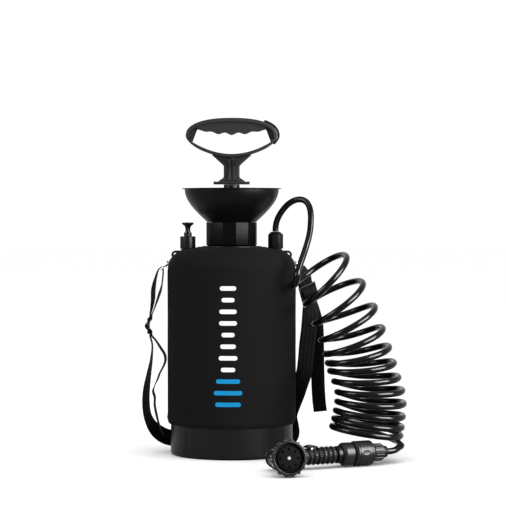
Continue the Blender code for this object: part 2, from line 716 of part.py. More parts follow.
# The pump that screws into the neck
def make_pump():
    ring = [
        (NECK_BORE + SLIDING_GAP, GASKET_Z),
        (PUMP_FLANGE_RADIUS, GASKET_Z),
        (PUMP_FLANGE_RADIUS, GASKET_Z + PUMP_GASKET_THICKNESS),
        (NECK_BORE + SLIDING_GAP, GASKET_Z + PUMP_GASKET_THICKNESS),
    ]
    gasket = add("pump_gasket", lathe(ring, INNER_SIDES), *RUBBER)

    plug = NECK_BORE - SLIDING_GAP
    seat = CYLINDER_RADIUS + SEAT_GAP
    flange_top = PUMP_FLANGE_Z + PUMP_FLANGE_THICKNESS
    top_bore = CYLINDER_TOP_Z + SEAT_GAP
    body = [
        (seat, PUMP_PLUG_LOW_Z),
        (plug, PUMP_PLUG_LOW_Z),
        (plug, PUMP_FLANGE_Z),
        (PUMP_FLANGE_RADIUS, PUMP_FLANGE_Z),
        (PUMP_FLANGE_RADIUS, flange_top),
        (PUMP_GUIDE_RADIUS + 4 * MM, flange_top),
        (PUMP_GUIDE_RADIUS + 3 * MM, PUMP_HUB_TOP_Z),
        (PUMP_GUIDE_RADIUS, PUMP_HUB_TOP_Z + 6 * MM),
        (PUMP_GUIDE_RADIUS, PUMP_GUIDE_TOP_Z),
        (PUMP_ROD_BORE, PUMP_GUIDE_TOP_Z),
        (PUMP_ROD_BORE, top_bore + 4 * MM),
        (seat, top_bore),
    ]
    cap = lathe(body, ROUND_SIDES)
    lobes = []
    count = PUMP_HUB_LOBES * 4
    for k in range(count):
        a = 2 * math.pi * k / count
        r = PUMP_HUB_RADIUS + PUMP_HUB_LOBE_DEPTH * math.cos(PUMP_HUB_LOBES * a)
        lobes.append((r * math.cos(a), r * math.sin(a)))
    height = PUMP_HUB_TOP_Z - flange_top
    bore = ring_points(PUMP_GUIDE_RADIUS + MM, SMALL_SIDES)
    hub = moved(slab(lobes, height + MM, [bore]), turn(-90, "X"))
    hub = moved(hub, shift(z=flange_top + height / 2 - MM / 2))
    cap = add("pump_cap", joined(cap, hub), *BLACK_PLASTIC)

    pipe = [
        (CYLINDER_BORE, CYLINDER_LOW_Z),
        (CYLINDER_RADIUS, CYLINDER_LOW_Z),
        (CYLINDER_RADIUS, CYLINDER_TOP_Z),
        (CYLINDER_BORE, CYLINDER_TOP_Z),
    ]
    cylinder = add("pump_cylinder", lathe(pipe, INNER_SIDES), (0.75, 0.75, 0.72), 0.4)

    seat_radius = CYLINDER_BORE - SEAT_GAP
    seat_high = CYLINDER_LOW_Z + FOOT_SEAT_HEIGHT
    stem = 2.0 * MM
    disc = [
        (stem, CYLINDER_LOW_Z),
        (seat_radius, CYLINDER_LOW_Z),
        (seat_radius, seat_high),
        (seat_radius - 3 * MM, seat_high),
        (seat_radius - 3 * MM, CYLINDER_LOW_Z + 3 * MM),
        (stem, CYLINDER_LOW_Z + 3 * MM),
    ]
    ports = [
        moved(rod(FOOT_PORT_RADIUS, CYLINDER_LOW_Z - MM, seat_high, 8), shift(x, y))
        for x, y in ring_points(FLAP_RADIUS * 0.6, FOOT_PORTS)
    ]
    foot = add("foot_valve_seat", cut(lathe(disc, INNER_SIDES), together(*ports)), (0.05, 0.05, 0.05), 0.5)

    flap_top = CYLINDER_LOW_Z - SEAT_GAP
    knob_low = CYLINDER_LOW_Z + 3 * MM + SEAT_GAP
    mushroom = [
        (0, flap_top - FLAP_THICKNESS),
        (FLAP_RADIUS, flap_top - FLAP_THICKNESS / 2),
        (FLAP_RADIUS, flap_top),
        (stem - SEAT_GAP, flap_top),
        (stem - SEAT_GAP, knob_low),
        (stem + MM, knob_low),
        (stem / 2, knob_low + 2 * MM),
        (0, knob_low + 2 * MM),
    ]
    flap = add("foot_valve_flap", lathe(mushroom, SMALL_SIDES), (0.35, 0.08, 0.05), 0.6)
    frame = axis_frame("pump_axis", Matrix.Identity(4))
    under(frame, gasket, cap, cylinder, foot, flap)


def make_piston():
    high = PISTON_LOW_Z + PISTON_HEIGHT
    groove = PISTON_RADIUS - PISTON_GROOVE_DEPTH
    cup_low = PISTON_LOW_Z + (PISTON_HEIGHT - CUP_HEIGHT) / 2
    cup_high = cup_low + CUP_HEIGHT
    spool = [
        (0, PISTON_LOW_Z),
        (PISTON_RADIUS, PISTON_LOW_Z),
        (PISTON_RADIUS, cup_low - SEAT_GAP),
        (groove, cup_low - SEAT_GAP),
        (groove, cup_high + SEAT_GAP),
        (PISTON_RADIUS, cup_high + SEAT_GAP),
        (PISTON_RADIUS, high),
        (0, high),
    ]
    piston = add("piston", lathe(spool, INNER_SIDES), (0.05, 0.05, 0.05), 0.45)
    lip = CYLINDER_BORE - SLIDING_GAP
    cup = [
        (groove + SEAT_GAP, cup_low),
        (lip, cup_low),
        (lip - 0.4 * MM, cup_high),
        (groove + SEAT_GAP, cup_high),
    ]
    cup = add("piston_cup", lathe(cup, INNER_SIDES), *RUBBER)
    low, top = high + SEAT_GAP, EAR_LOW_Z - SEAT_GAP
    half, rib = ROD_HALF_WIDTH, ROD_RIB / 2
    cross = [
        (half, rib), (rib, rib), (rib, half), (-rib, half), (-rib, rib), (-half, rib),
        (-half, -rib), (-rib, -rib), (-rib, -half), (rib, -half), (rib, -rib), (half, -rib),
    ]
    bar = moved(slab(cross, top - low), turn(-90, "X"))
    bar = moved(bar, shift(z=(low + top) / 2))
    pump_rod = add("pump_rod", bar, (0.05, 0.05, 0.05), 0.45)
    return cup, piston, pump_rod


# The handle
def handle_outline(grow=0.0, steps=11):
    """The rounded eye of the handle: a flat arch above, a deeper and fuller curve below."""
    points = []
    for k in range(4 * steps):
        a = math.pi / 2 * k / steps
        above = math.sin(a) >= 0
        power = 2 / (2.35 if above else 1.68)
        rise = (HANDLE_RISE if above else HANDLE_DROP) + grow
        x = (HANDLE_HALF_WIDTH + grow) * math.copysign(abs(math.cos(a)) ** power, math.cos(a))
        z = rise * math.copysign(abs(math.sin(a)) ** power, math.sin(a))
        points.append((x, HANDLE_CENTRE_Z + z))
    return points


def grip_line(x):
    """Underside of the grip: a shallow sag with five finger bumps."""
    part = x / OPENING_TOP_HALF
    wave = math.cos(math.pi * FINGER_BUMPS * part)
    fade = 1 - part**2
    return OPENING_TOP_Z - GRIP_SAG * (1 - part**2) - FINGER_BUMP_DEPTH * fade * (1 + wave) / 2


def finger_opening():
    top = [
        (x, grip_line(x))
        for x in np.linspace(-OPENING_TOP_HALF, OPENING_TOP_HALF, 6 * FINGER_BUMPS + 1)
    ]
    low = []
    for x in np.linspace(OPENING_LOW_HALF, -OPENING_LOW_HALF, 11):
        rise = (OPENING_SIDE_Z - OPENING_LOW_Z) * (x / OPENING_LOW_HALF) ** 2
        low.append((x, OPENING_LOW_Z + rise))
    return [(float(x), float(z)) for x, z in [*top, *low]]


def make_handle():
    half, edge = HANDLE_DEPTH / 2, HANDLE_EDGE
    rounding = [(half, 0.8 * edge), (half - 0.8 * edge, 0.0)]
    levels = [(-y, handle_outline(-inset)) for y, inset in rounding]
    levels += [(y, handle_outline(-inset)) for y, inset in rounding[::-1]]
    loop = slab(None, None, [finger_opening()], levels)
    pocket_low = OPENING_SIDE_Z + 4 * MM
    pocket = [p for p in handle_outline(-HANDLE_RIM) if p[1] > pocket_low]
    right = max(pocket)[0]
    pocket = sorted(pocket, key=lambda p: -p[0])
    pocket = [(right, pocket_low), *pocket, (-right, pocket_low)]
    side = (HANDLE_DEPTH - HANDLE_WEB) / 2
    reach = HANDLE_WEB / 2 + side
    cutters = [moved(slab(pocket, 2 * side), shift(y=s * reach)) for s in (-1, 1)]
    loop = fused(loop, cutters, "DIFFERENCE", "MANIFOLD")

    low, neck_low = EAR_LOW_Z, EAR_LOW_Z + EAR_HEIGHT
    arm = HANDLE_CENTRE_Z - HANDLE_DROP
    half = STEM_HALF_WIDTH
    blade = [
        (half, low), (half + 1.5 * MM, neck_low + 3 * MM), (half, neck_low + 8 * MM),
        (half, arm - 13 * MM), (half + 4 * MM, arm - 9 * MM), (GUSSET_HALF, arm + 4 * MM),
        (GUSSET_HALF - 4 * MM, arm + 5 * MM), (0, arm + 3 * MM),
    ]
    blade = slab(mirrored(blade), STEM_RIB)
    depth = STEM_HALF_DEPTH
    fin = [
        (depth, low), (depth, neck_low), (depth - 4 * MM, neck_low + 6 * MM),
        (depth - 4.5 * MM, arm - 14 * MM), (depth, arm - 4 * MM), (depth, arm + 3 * MM),
    ]
    fin = moved(slab(mirrored(fin), STEM_RIB), turn(90, "Z"))
    ear = EAR_HALF_WIDTH
    ears = [
        (ear, low), (ear, neck_low), (ear - 6 * MM, neck_low - MM),
        (half + 2 * MM, neck_low + 4.5 * MM), (0, neck_low + 4.5 * MM),
    ]
    ears = slab(mirrored(ears), EAR_DEPTH)
    mesh = fused(loop, [blade, fin, ears], "UNION", "MANIFOLD")
    handle = add("pump_handle", mesh, (0.026, 0.026, 0.027), 0.45)

    inner, outer = handle_outline(SEAT_GAP), handle_outline(CLIP_THICKNESS)
    keep = [k for k, (x, z) in enumerate(inner) if x > CLIP_FROM_X and z > CLIP_FROM_Z]
    keep.sort(key=lambda k: inner[k][1])
    band = [inner[k] for k in keep] + [outer[k] for k in reversed(keep)]
    clip = add("handle_clip", slab(band, CLIP_DEPTH), (0.020, 0.020, 0.021), 0.5)
    return handle, clip


def mirrored(half):
    """A closed outline from its right half, listed upward, whose ends may lie on the middle line."""
    left = [(-x, z) for x, z in reversed(half) if x > 1e-6]
    return [*half, *left]


# The relief valve on the left port
def make_relief_valve():
    at = shift(-PORT_OFFSET)
    low, top, wall = RELIEF_LOW_Z, RELIEF_TOP_Z, RELIEF_WALL
    stem_bore = RELIEF_STEM_RADIUS + SLIDING_GAP
    cavity = RELIEF_RADIUS - wall
    cavity_low = low + 2 * MM
    body = [
        (stem_bore + MM, low),
        (RELIEF_RADIUS, low),
        (RELIEF_RADIUS, top - MM),
        (RELIEF_RADIUS - MM, top),
        (RELIEF_BOSS_RADIUS, top),
        (RELIEF_BOSS_RADIUS, RELIEF_BOSS_TOP_Z),
        (stem_bore, RELIEF_BOSS_TOP_Z),
        (stem_bore, top - wall),
        (cavity, top - wall),
        (cavity, cavity_low),
        (stem_bore + MM, cavity_low),
    ]
    ring = [
        (PORT_BORE, PORT_TOP_Z + SEAT_GAP),
        (RELIEF_RADIUS - MM, PORT_TOP_Z + SEAT_GAP),
        (RELIEF_RADIUS - MM, low - SEAT_GAP),
        (PORT_BORE, low - SEAT_GAP),
    ]
    seal_high = RELIEF_FLANGE_Z - SEAT_GAP
    seal = [
        (stem_bore, cavity_low + SEAT_GAP),
        (RELIEF_FLANGE_RADIUS, cavity_low + SEAT_GAP),
        (RELIEF_FLANGE_RADIUS, seal_high),
        (stem_bore, seal_high),
    ]
    flange_high = RELIEF_FLANGE_Z + RELIEF_FLANGE_THICKNESS
    neck_low = RELIEF_BOSS_TOP_Z + SEAT_GAP
    knob = [
        (0, RELIEF_FLANGE_Z),
        (RELIEF_FLANGE_RADIUS, RELIEF_FLANGE_Z),
        (RELIEF_FLANGE_RADIUS, flange_high),
        (RELIEF_STEM_RADIUS, flange_high),
        (RELIEF_STEM_RADIUS, neck_low),
        (RELIEF_NECK_RADIUS, neck_low),
        (RELIEF_NECK_RADIUS - 0.8 * MM, neck_low + 4 * MM),
        (RELIEF_NECK_RADIUS, RELIEF_KNOB_TOP_Z - 6 * MM),
        (RELIEF_KNOB_RADIUS, RELIEF_KNOB_TOP_Z - 2.4 * MM),
        (RELIEF_KNOB_RADIUS, RELIEF_KNOB_TOP_Z - 0.8 * MM),
        (RELIEF_KNOB_RADIUS - 1.2 * MM, RELIEF_KNOB_TOP_Z),
        (0, RELIEF_KNOB_TOP_Z),
    ]
    add("relief_body", lathe(body, 24), *BLACK_PLASTIC).matrix_world = at
    add("relief_gasket", lathe(ring, SMALL_SIDES), *RUBBER).matrix_world = at
    add("relief_seal", lathe(seal, SMALL_SIDES), *RUBBER).matrix_world = at
    add("relief_knob", lathe(knob, SMALL_SIDES), *BLACK_PLASTIC).matrix_world = at
    start = flange_high + SEAT_GAP + RELIEF_SPRING_WIRE
    end = top - wall - SEAT_GAP - RELIEF_SPRING_WIRE
    turns = RELIEF_SPRING_TURNS
    helix = [
        (
            RELIEF_SPRING_RADIUS * math.cos(2 * math.pi * k / 8),
            RELIEF_SPRING_RADIUS * math.sin(2 * math.pi * k / 8),
            start + (end - start) * k / (8 * turns),
        )
        for k in range(8 * turns + 1)
    ]
    tube("relief_spring", helix, RELIEF_SPRING_WIRE, 1, *STEEL).matrix_world = at


# The hose outlet on the right port
def make_hose_outlet():
    at = shift(PORT_OFFSET)
    low, top, chamfer = HOSE_NUT_LOW_Z, HOSE_NUT_TOP_Z, HOSE_NUT_CHAMFER
    neck = HOSE_RADIUS + 2 * MM
    nut = [
        (0, low), (0, top), (neck, top), (neck + 1.2 * MM, top - 0.6 * MM),
        (HOSE_NUT_RADIUS, top - chamfer), (HOSE_NUT_RADIUS, low),
    ]
    nut = lathe(nut[::-1], HOSE_NUT_FACETS, math.pi / HOSE_NUT_FACETS)
    bore = rod(BARB_RADIUS + 2 * SLIDING_GAP, low - MM, top - 2 * MM, SMALL_SIDES)
    hose_bore = rod(BARB_RADIUS + SEAT_GAP, top - 3 * MM, top + MM, SMALL_SIDES)
    nut = cut(nut, bore, hose_bore)
    add("hose_nut", nut, *BLACK_PLASTIC, smooth_angle=20.0).matrix_world = at
    ring = [
        (PORT_BORE, PORT_TOP_Z + SEAT_GAP),
        (PORT_BOSS_RADIUS - MM, PORT_TOP_Z + SEAT_GAP),
        (PORT_BOSS_RADIUS - MM, low - SEAT_GAP),
        (PORT_BORE, low - SEAT_GAP),
    ]
    add("hose_gasket", lathe(ring, SMALL_SIDES), *RUBBER).matrix_world = at
    barb_low = PORT_TOP_Z - 8 * MM
    barb = [
        (BARB_BORE, barb_low),
        (BARB_RADIUS, barb_low),
        (BARB_RADIUS, top - 10 * MM),
        (BARB_RADIUS - 0.7 * MM, top - 7 * MM),
        (BARB_RADIUS, top - 7 * MM),
        (BARB_RADIUS - 0.7 * MM, top - 3 * MM),
        (BARB_BORE, top - 3 * MM),
    ]
    add("hose_barb", lathe(barb, 20), *BLACK_PLASTIC).matrix_world = at
    dip_top = barb_low - SEAT_GAP
    filter_top = FILTER_LOW_Z + FILTER_HEIGHT
    dip = [
        (DIP_TUBE_BORE, filter_top + SEAT_GAP),
        (DIP_TUBE_RADIUS, filter_top + SEAT_GAP),
        (DIP_TUBE_RADIUS, dip_top),
        (DIP_TUBE_BORE, dip_top),
    ]
    add("dip_tube", lathe(dip, 16), (0.7, 0.72, 0.7), 0.35).matrix_world = at
    wall = 1.5 * MM
    shell = [
        (0, FILTER_LOW_Z),
        (FILTER_RADIUS, FILTER_LOW_Z),
        (FILTER_RADIUS, filter_top - 3 * MM),
        (DIP_TUBE_RADIUS, filter_top),
        (DIP_TUBE_BORE, filter_top),
        (FILTER_RADIUS - wall, filter_top - 3.5 * MM),
        (FILTER_RADIUS - wall, FILTER_LOW_Z + wall),
        (0, FILTER_LOW_Z + wall),
    ]
    slots = [
        moved(
            block((FILTER_RADIUS, 2 * MM, FILTER_HEIGHT / 2), (FILTER_RADIUS, 0, FILTER_LOW_Z + 7 * MM)),
            turn(360 * k / FILTER_SLOTS, "Z"),
        )
        for k in range(FILTER_SLOTS)
    ]
    strainer = cut(lathe(shell, SMALL_SIDES), together(*slots))
    add("dip_filter", strainer, (0.6, 0.6, 0.58), 0.5).matrix_world = at


# The wound hose. Each station gives, at a turn of the coil, the place of its left and right ends,
# the depth of its middle and how far its back is lifted over its front.
COIL_STATIONS = (
    (0.0, 0.0975, 0.2650, 0.1627, 0.3272, -0.0570, 0.0045),
    (2.0, 0.1266, 0.2048, 0.2103, 0.2485, -0.0600, 0.0040),
    (4.0, 0.1423, 0.1590, 0.2353, 0.1836, -0.0640, 0.0030),
    (6.0, 0.1496, 0.1338, 0.2503, 0.1356, -0.0720, 0.0020),
    (8.0, 0.1600, 0.1027, 0.2609, 0.0955, -0.0800, 0.0010),
    (10.0, 0.1574, 0.0755, 0.2587, 0.0578, -0.0875, 0.0010),
    (COIL_TURNS, 0.1500, 0.0465, 0.2533, 0.0262, -0.0950, 0.0010),
)


def coil_line(turns):
    """Points of the coil at the given turns, between its left and right ends."""
    table = np.array(COIL_STATIONS)
    stations = through(table[:, 0], table[:, 1:], turns)
    left_x, left_z, right_x, right_z, middle_y, tilt = stations.T
    a = 2 * math.pi * turns
    to_left, to_right = (1 + np.cos(a)) / 2, (1 - np.cos(a)) / 2
    return np.stack(
        [
            left_x * to_left + right_x * to_right,
            middle_y + COIL_HALF_DEPTH * np.sin(a),
            left_z * to_left + right_z * to_right + tilt * np.sin(a),
        ],
        axis=1,
    )


def coil_points():
    """Every turn as one line, with a straight hose diameter at both ends."""
    wound = coil_line(np.linspace(0, COIL_TURNS, int(COIL_TURNS * LOOP_POINTS) + 1))
    run = 2 * HOSE_RADIUS
    first = wound[0] - wound[1]
    last = wound[-1] - wound[-2]
    start = wound[0] + first / np.linalg.norm(first) * run
    end = wound[-1] + last / np.linalg.norm(last) * run
    return np.array([start, *wound, end])


def least_gap():
    """The smallest clear distance between different turns of the coil, surface to surface."""
    fine = coil_line(np.linspace(0, COIL_TURNS, int(COIL_TURNS * 96)))
    apart = np.linalg.norm(fine[:, None] - fine[None], axis=2)
    order = np.arange(len(fine))
    other_turn = np.abs(order[:, None] - order[None]) > 48
    return float(apart[other_turn].min()) - 2 * HOSE_RADIUS


def square_end(place, away):
    """The hose's last stretch, straight and square to what it meets."""
    return [tuple(place + away * run) for run in (SEAT_GAP, HOSE_RADIUS, 2 * HOSE_RADIUS)]


def make_hose(cap_end, heading):
    coil = coil_points()
    start, end = coil[0], coil[-1]
    into = (coil[1] - coil[0]) / np.linalg.norm(coil[1] - coil[0])
    out = (coil[-1] - coil[-2]) / np.linalg.norm(coil[-1] - coil[-2])
    lead = [
        *square_end(np.array([PORT_OFFSET, 0.0, HOSE_NUT_TOP_Z]), np.array([0.0, 0.0, 1.0])),
        (0.0710, -0.001, 0.3640),
        (0.0785, -0.003, 0.3770),
        (0.0875, -0.006, 0.3870),
        (0.0975, -0.010, 0.3930),
        (0.1075, -0.014, 0.3945),
        (0.1155, -0.019, 0.3905),
        (0.1200, -0.025, 0.3820),
        (0.1218, -0.031, 0.3700),
        (0.1214, -0.037, 0.3570),
        (0.1198, -0.044, 0.3430),
        (0.1165, -0.052, 0.3300),
        (0.1122, -0.060, 0.3165),
        (0.1072, -0.070, 0.3030),
        (0.1025, -0.079, 0.2895),
        (0.0995, -0.0855, 0.2790),
        (0.0982, -0.0810, 0.2690),
        *square_end(start, -into)[::-1],
    ]
    tail = [
        *square_end(end, out),
        (0.2520, -0.1150, 0.0235),
        (0.2470, -0.1238, 0.0203),
        *square_end(cap_end, heading)[::-1],
    ]
    lead_line = smooth(lead, 34)
    tail_line = smooth(tail, 16)
    shine = ((0.008, 0.008, 0.009), 0.12)
    tube("hose_lead", lead_line, HOSE_RADIUS, HOSE_SIDES_STEP, *shine)
    tube("hose_coil", coil, HOSE_RADIUS, 1, *shine)
    tube("hose_tail", tail_line, HOSE_RADIUS, HOSE_SIDES_STEP, *shine)
    total = length_of(lead_line) + length_of(coil) + length_of(tail_line)
    print(f"coil: least gap {least_gap() * 1000:.2f} mm, hose {total:.3f} m")


# The quick connector, lying on the floor. Its pieces run along +X of its frame, from its mouth.
def along_x(profile, sides=SMALL_SIDES, start=0.0):
    """A turned solid whose axis is X; the outline is given as (radius, x)."""
    return moved(lathe(profile, sides, start), turn(90, "Y"))


def ribbed_ring(radius, depth, ribs, low, high, bore, sides_per_rib=4):
    """A turned ring along X with grip ribs all round."""
    count = ribs * sides_per_rib
    rim = []
    for k in range(count):
        r = radius - (depth if k % sides_per_rib >= sides_per_rib // 2 else 0.0)
        a = 2 * math.pi * k / count
        rim.append((r * math.cos(a), r * math.sin(a)))
    holes = [ring_points(bore, SMALL_SIDES)] if bore else []
    mesh = moved(slab(rim, high - low, holes), turn(-90, "X"))
    return moved(moved(mesh, shift(z=(low + high) / 2)), turn(90, "Y"))


def make_connector(frame):
    rear = COLLAR_RING_LENGTH + COLLAR_RING_TRAVEL
    end = rear + CONNECTOR_LENGTH
    neck = end + CONNECTOR_GROOVE
    inside = end - 8 * MM
    hose_bore = BARB_RADIUS + SEAT_GAP
    body = [
        (CONNECTOR_BORE, MM),
        (CONNECTOR_BARREL_RADIUS, MM),
        (CONNECTOR_BARREL_RADIUS, rear),
        (CONNECTOR_RADIUS - 2 * MM, rear),
        (CONNECTOR_RADIUS, rear + 3 * MM),
        (CONNECTOR_RADIUS, end - 2 * MM),
        (CONNECTOR_RADIUS - MM, end),
        (CONNECTOR_NUT_RADIUS - 2 * MM, end),
        (CONNECTOR_NUT_RADIUS - 2 * MM, neck),
        (BARB_BORE, neck),
        (BARB_BORE, inside),
        (CONNECTOR_BORE, inside - 3 * MM),
    ]
    body = along_x(body, 24)
    thumb = [(x * 6 * MM, z * 3.6 * MM) for x, z in ring_points(1.0, 14)]
    pocket = slab(thumb, 2 * MM)
    middle = (rear + end) / 2
    pockets = [
        moved(moved(pocket.copy(), shift(middle, -CONNECTOR_RADIUS, 0)), turn(a, "X"))
        for a in (-8, 172)
    ]
    body = add("connector_body", cut(body, *pockets), *SATIN_PLASTIC)

    ring = [
        (CONNECTOR_BARREL_RADIUS + SLIDING_GAP, 0),
        (COLLAR_RING_RADIUS - 3 * MM, 0),
        (COLLAR_RING_RADIUS - MM, MM),
        (COLLAR_RING_RADIUS, 3.5 * MM),
        (COLLAR_RING_RADIUS, COLLAR_RING_LENGTH - MM),
        (COLLAR_RING_RADIUS - MM, COLLAR_RING_LENGTH),
        (CONNECTOR_BARREL_RADIUS + SLIDING_GAP, COLLAR_RING_LENGTH),
    ]
    collar = add("connector_collar", along_x(ring, 24), *SATIN_PLASTIC)

    spigot = spigot_radius()
    seal_at = SPIGOT_LENGTH - 5 * MM
    seal = [
        (spigot - 1.2 * MM, seal_at),
        (CONNECTOR_BORE - SEAT_GAP, seal_at),
        (CONNECTOR_BORE - SEAT_GAP, seal_at + 1.8 * MM),
        (spigot - 1.2 * MM, seal_at + 1.8 * MM),
    ]
    seal = add("spigot_seal", along_x(seal), *RUBBER)

    low = neck + SEAT_GAP
    high = low + CONNECTOR_NUT_LENGTH
    nut = ribbed_ring(CONNECTOR_NUT_RADIUS, 0.8 * MM, NUT_RIBS, low, high, hose_bore)
    nut = add("connector_nut", nut, *BLACK_PLASTIC, smooth_angle=20.0)
    cap = [
        (hose_bore, high + SEAT_GAP),
        (CONNECTOR_CAP_RADIUS + 1.5 * MM, high + SEAT_GAP),
        (CONNECTOR_CAP_RADIUS, high + CONNECTOR_CAP_LENGTH),
        (hose_bore, high + CONNECTOR_CAP_LENGTH),
    ]
    cap = add("hose_end_cap", along_x(cap), *BLACK_PLASTIC)
    under(frame, body, collar, nut, cap)
    return high + CONNECTOR_CAP_LENGTH, seal


def spigot_radius():
    return CONNECTOR_BORE - SLIDING_GAP


# The handset. It lies along -X of the connector's frame and ends in an elbow to the spray head.
def head_frame():
    """Spray head's frame: its origin in the elbow, +Z out through the nozzle."""
    heading = HEAD_HEADING - WAND_HEADING
    place = shift(-WAND_LENGTH, 0, 0)
    return place @ turn(heading, "Z") @ turn(90 - HEAD_TILT, "Y")


def make_handset(frame, seal):
    spigot = spigot_radius()
    groove_low = SPIGOT_LENGTH - 5 * MM - SEAT_GAP
    groove_high = groove_low + 1.8 * MM + 2 * SEAT_GAP
    adapter_low = -ADAPTER_LENGTH - SEAT_GAP
    adapter = [
        (SPIGOT_BORE, adapter_low),
        (ADAPTER_RADIUS, adapter_low),
        (ADAPTER_RADIUS, -2 * MM),
        (CONNECTOR_BARREL_RADIUS - MM, -SEAT_GAP),
        (spigot, -SEAT_GAP),
        (spigot, groove_low),
        (spigot - 1.5 * MM, groove_low),
        (spigot - 1.5 * MM, groove_high),
        (spigot, groove_high),
        (spigot - MM, SPIGOT_LENGTH),
        (SPIGOT_BORE, SPIGOT_LENGTH),
    ]
    adapter = add("handset_adapter", along_x(adapter, 24), *BLACK_PLASTIC)

    head = head_frame()
    core_high = adapter_low - SEAT_GAP
    core = along_x(
        [
            (0, -WAND_LENGTH),
            (GRIP_CORE_RADIUS, -WAND_LENGTH),
            (GRIP_CORE_RADIUS, core_high),
            (0, core_high),
        ]
    )
    shell_low = HEAD_LENGTH - DIAL_LENGTH - HEAD_SHELL_LENGTH
    barrel = [
        (0, -BARREL_REAR),
        (BARREL_RADIUS, -BARREL_REAR),
        (BARREL_RADIUS, shell_low - 14 * MM),
        (BARREL_RADIUS - 1.5 * MM, shell_low - 6 * MM),
        (BARREL_RADIUS - 1.5 * MM, shell_low),
        (0, shell_low),
    ]
    barrel = moved(lathe(barrel, 24), head)
    saddle_x = LEVER_PIVOT_X
    pin_z = LEVER_TOP - 5 * MM
    saddle_top = pin_z + 2.2 * MM
    saddle = (6 * MM, LEVER_WIDTH - 4 * MM, saddle_top)
    body = joined(core, barrel, block(saddle, (saddle_x, 0, saddle_top / 2)))
    pin_hole = moved(rod(LEVER_PIN_RADIUS + SEAT_GAP, -20 * MM, 20 * MM, 12), turn(90, "X"))
    body = cut(body, moved(pin_hole, shift(saddle_x, 0, pin_z)))
    body = add("handset_body", body, *BLACK_PLASTIC)

    low = core_high - 2 * MM - GRIP_LENGTH
    bore = GRIP_CORE_RADIUS + SEAT_GAP
    step = GRIP_LENGTH / GRIP_RIBS
    outside = []
    for k in range(GRIP_RIBS):
        x = low + k * step
        outside += [
            (GRIP_RADIUS, x + 0.1 * step),
            (GRIP_RADIUS, x + 0.55 * step),
            (GRIP_RADIUS - 1.6 * MM, x + 0.7 * step),
            (GRIP_RADIUS - 1.6 * MM, x + 0.95 * step),
        ]
    sleeve = along_x([(bore, low), *outside, (bore, low + GRIP_LENGTH)], 16)
    well = block(
        (2 * LEVER_HALF_LENGTH + 3 * MM, LEVER_WIDTH + 2 * MM, 20 * MM),
        (saddle_x, 0, GRIP_CORE_RADIUS + 10 * MM - 3 * MM),
    )
    sleeve = add("grip_sleeve", cut(sleeve, well), *RUBBER)

    lever = lever_mesh(pin_z)
    lever = add("thumb_lever", lever, (0.03, 0.03, 0.032), 0.3)
    lever.location.x = saddle_x
    lever.location.z = pin_z
    pin = moved(rod(LEVER_PIN_RADIUS, -LEVER_WIDTH / 2, LEVER_WIDTH / 2, 12), turn(90, "X"))
    pin = add("lever_pin", pin, *STEEL)
    pin.location.x = saddle_x
    pin.location.z = pin_z
    under(frame, adapter, seal, body, sleeve, lever, pin)
    make_spray_head(frame, head, shell_low)


def lever_mesh(pin_z):
    """The rocking thumb lever, about its pin: a domed pad with two cheeks beside the saddle."""
    half = LEVER_HALF_LENGTH
    top = LEVER_TOP - pin_z
    pad_low = MM
    angles = [math.radians(22.5 * k) for k in range(9)]
    arch = [(half * math.cos(a), pad_low + (top - pad_low) * math.sin(a)) for a in angles]
    cheek_high = pad_low + MM
    cheek_low = -2.6 * MM
    cheeks = [
        (3.4 * MM, cheek_high),
        (2.6 * MM, cheek_low),
        (-2.6 * MM, cheek_low),
        (-3.4 * MM, cheek_high),
    ]
    pad = slab(arch, LEVER_WIDTH)
    inner = LEVER_WIDTH - 4 * MM
    outer = slab(cheeks, LEVER_WIDTH)
    lever = joined(pad, outer)
    room = block((2.2 * half, inner + 2 * SEAT_GAP, 6 * MM), (0, 0, pad_low + MM - 3 * MM + 0.9 * MM))
    lever = cut(lever, room)
    hole = moved(rod(LEVER_PIN_RADIUS + SEAT_GAP, -LEVER_WIDTH, LEVER_WIDTH, 12), turn(90, "X"))
    return cut(lever, hole)


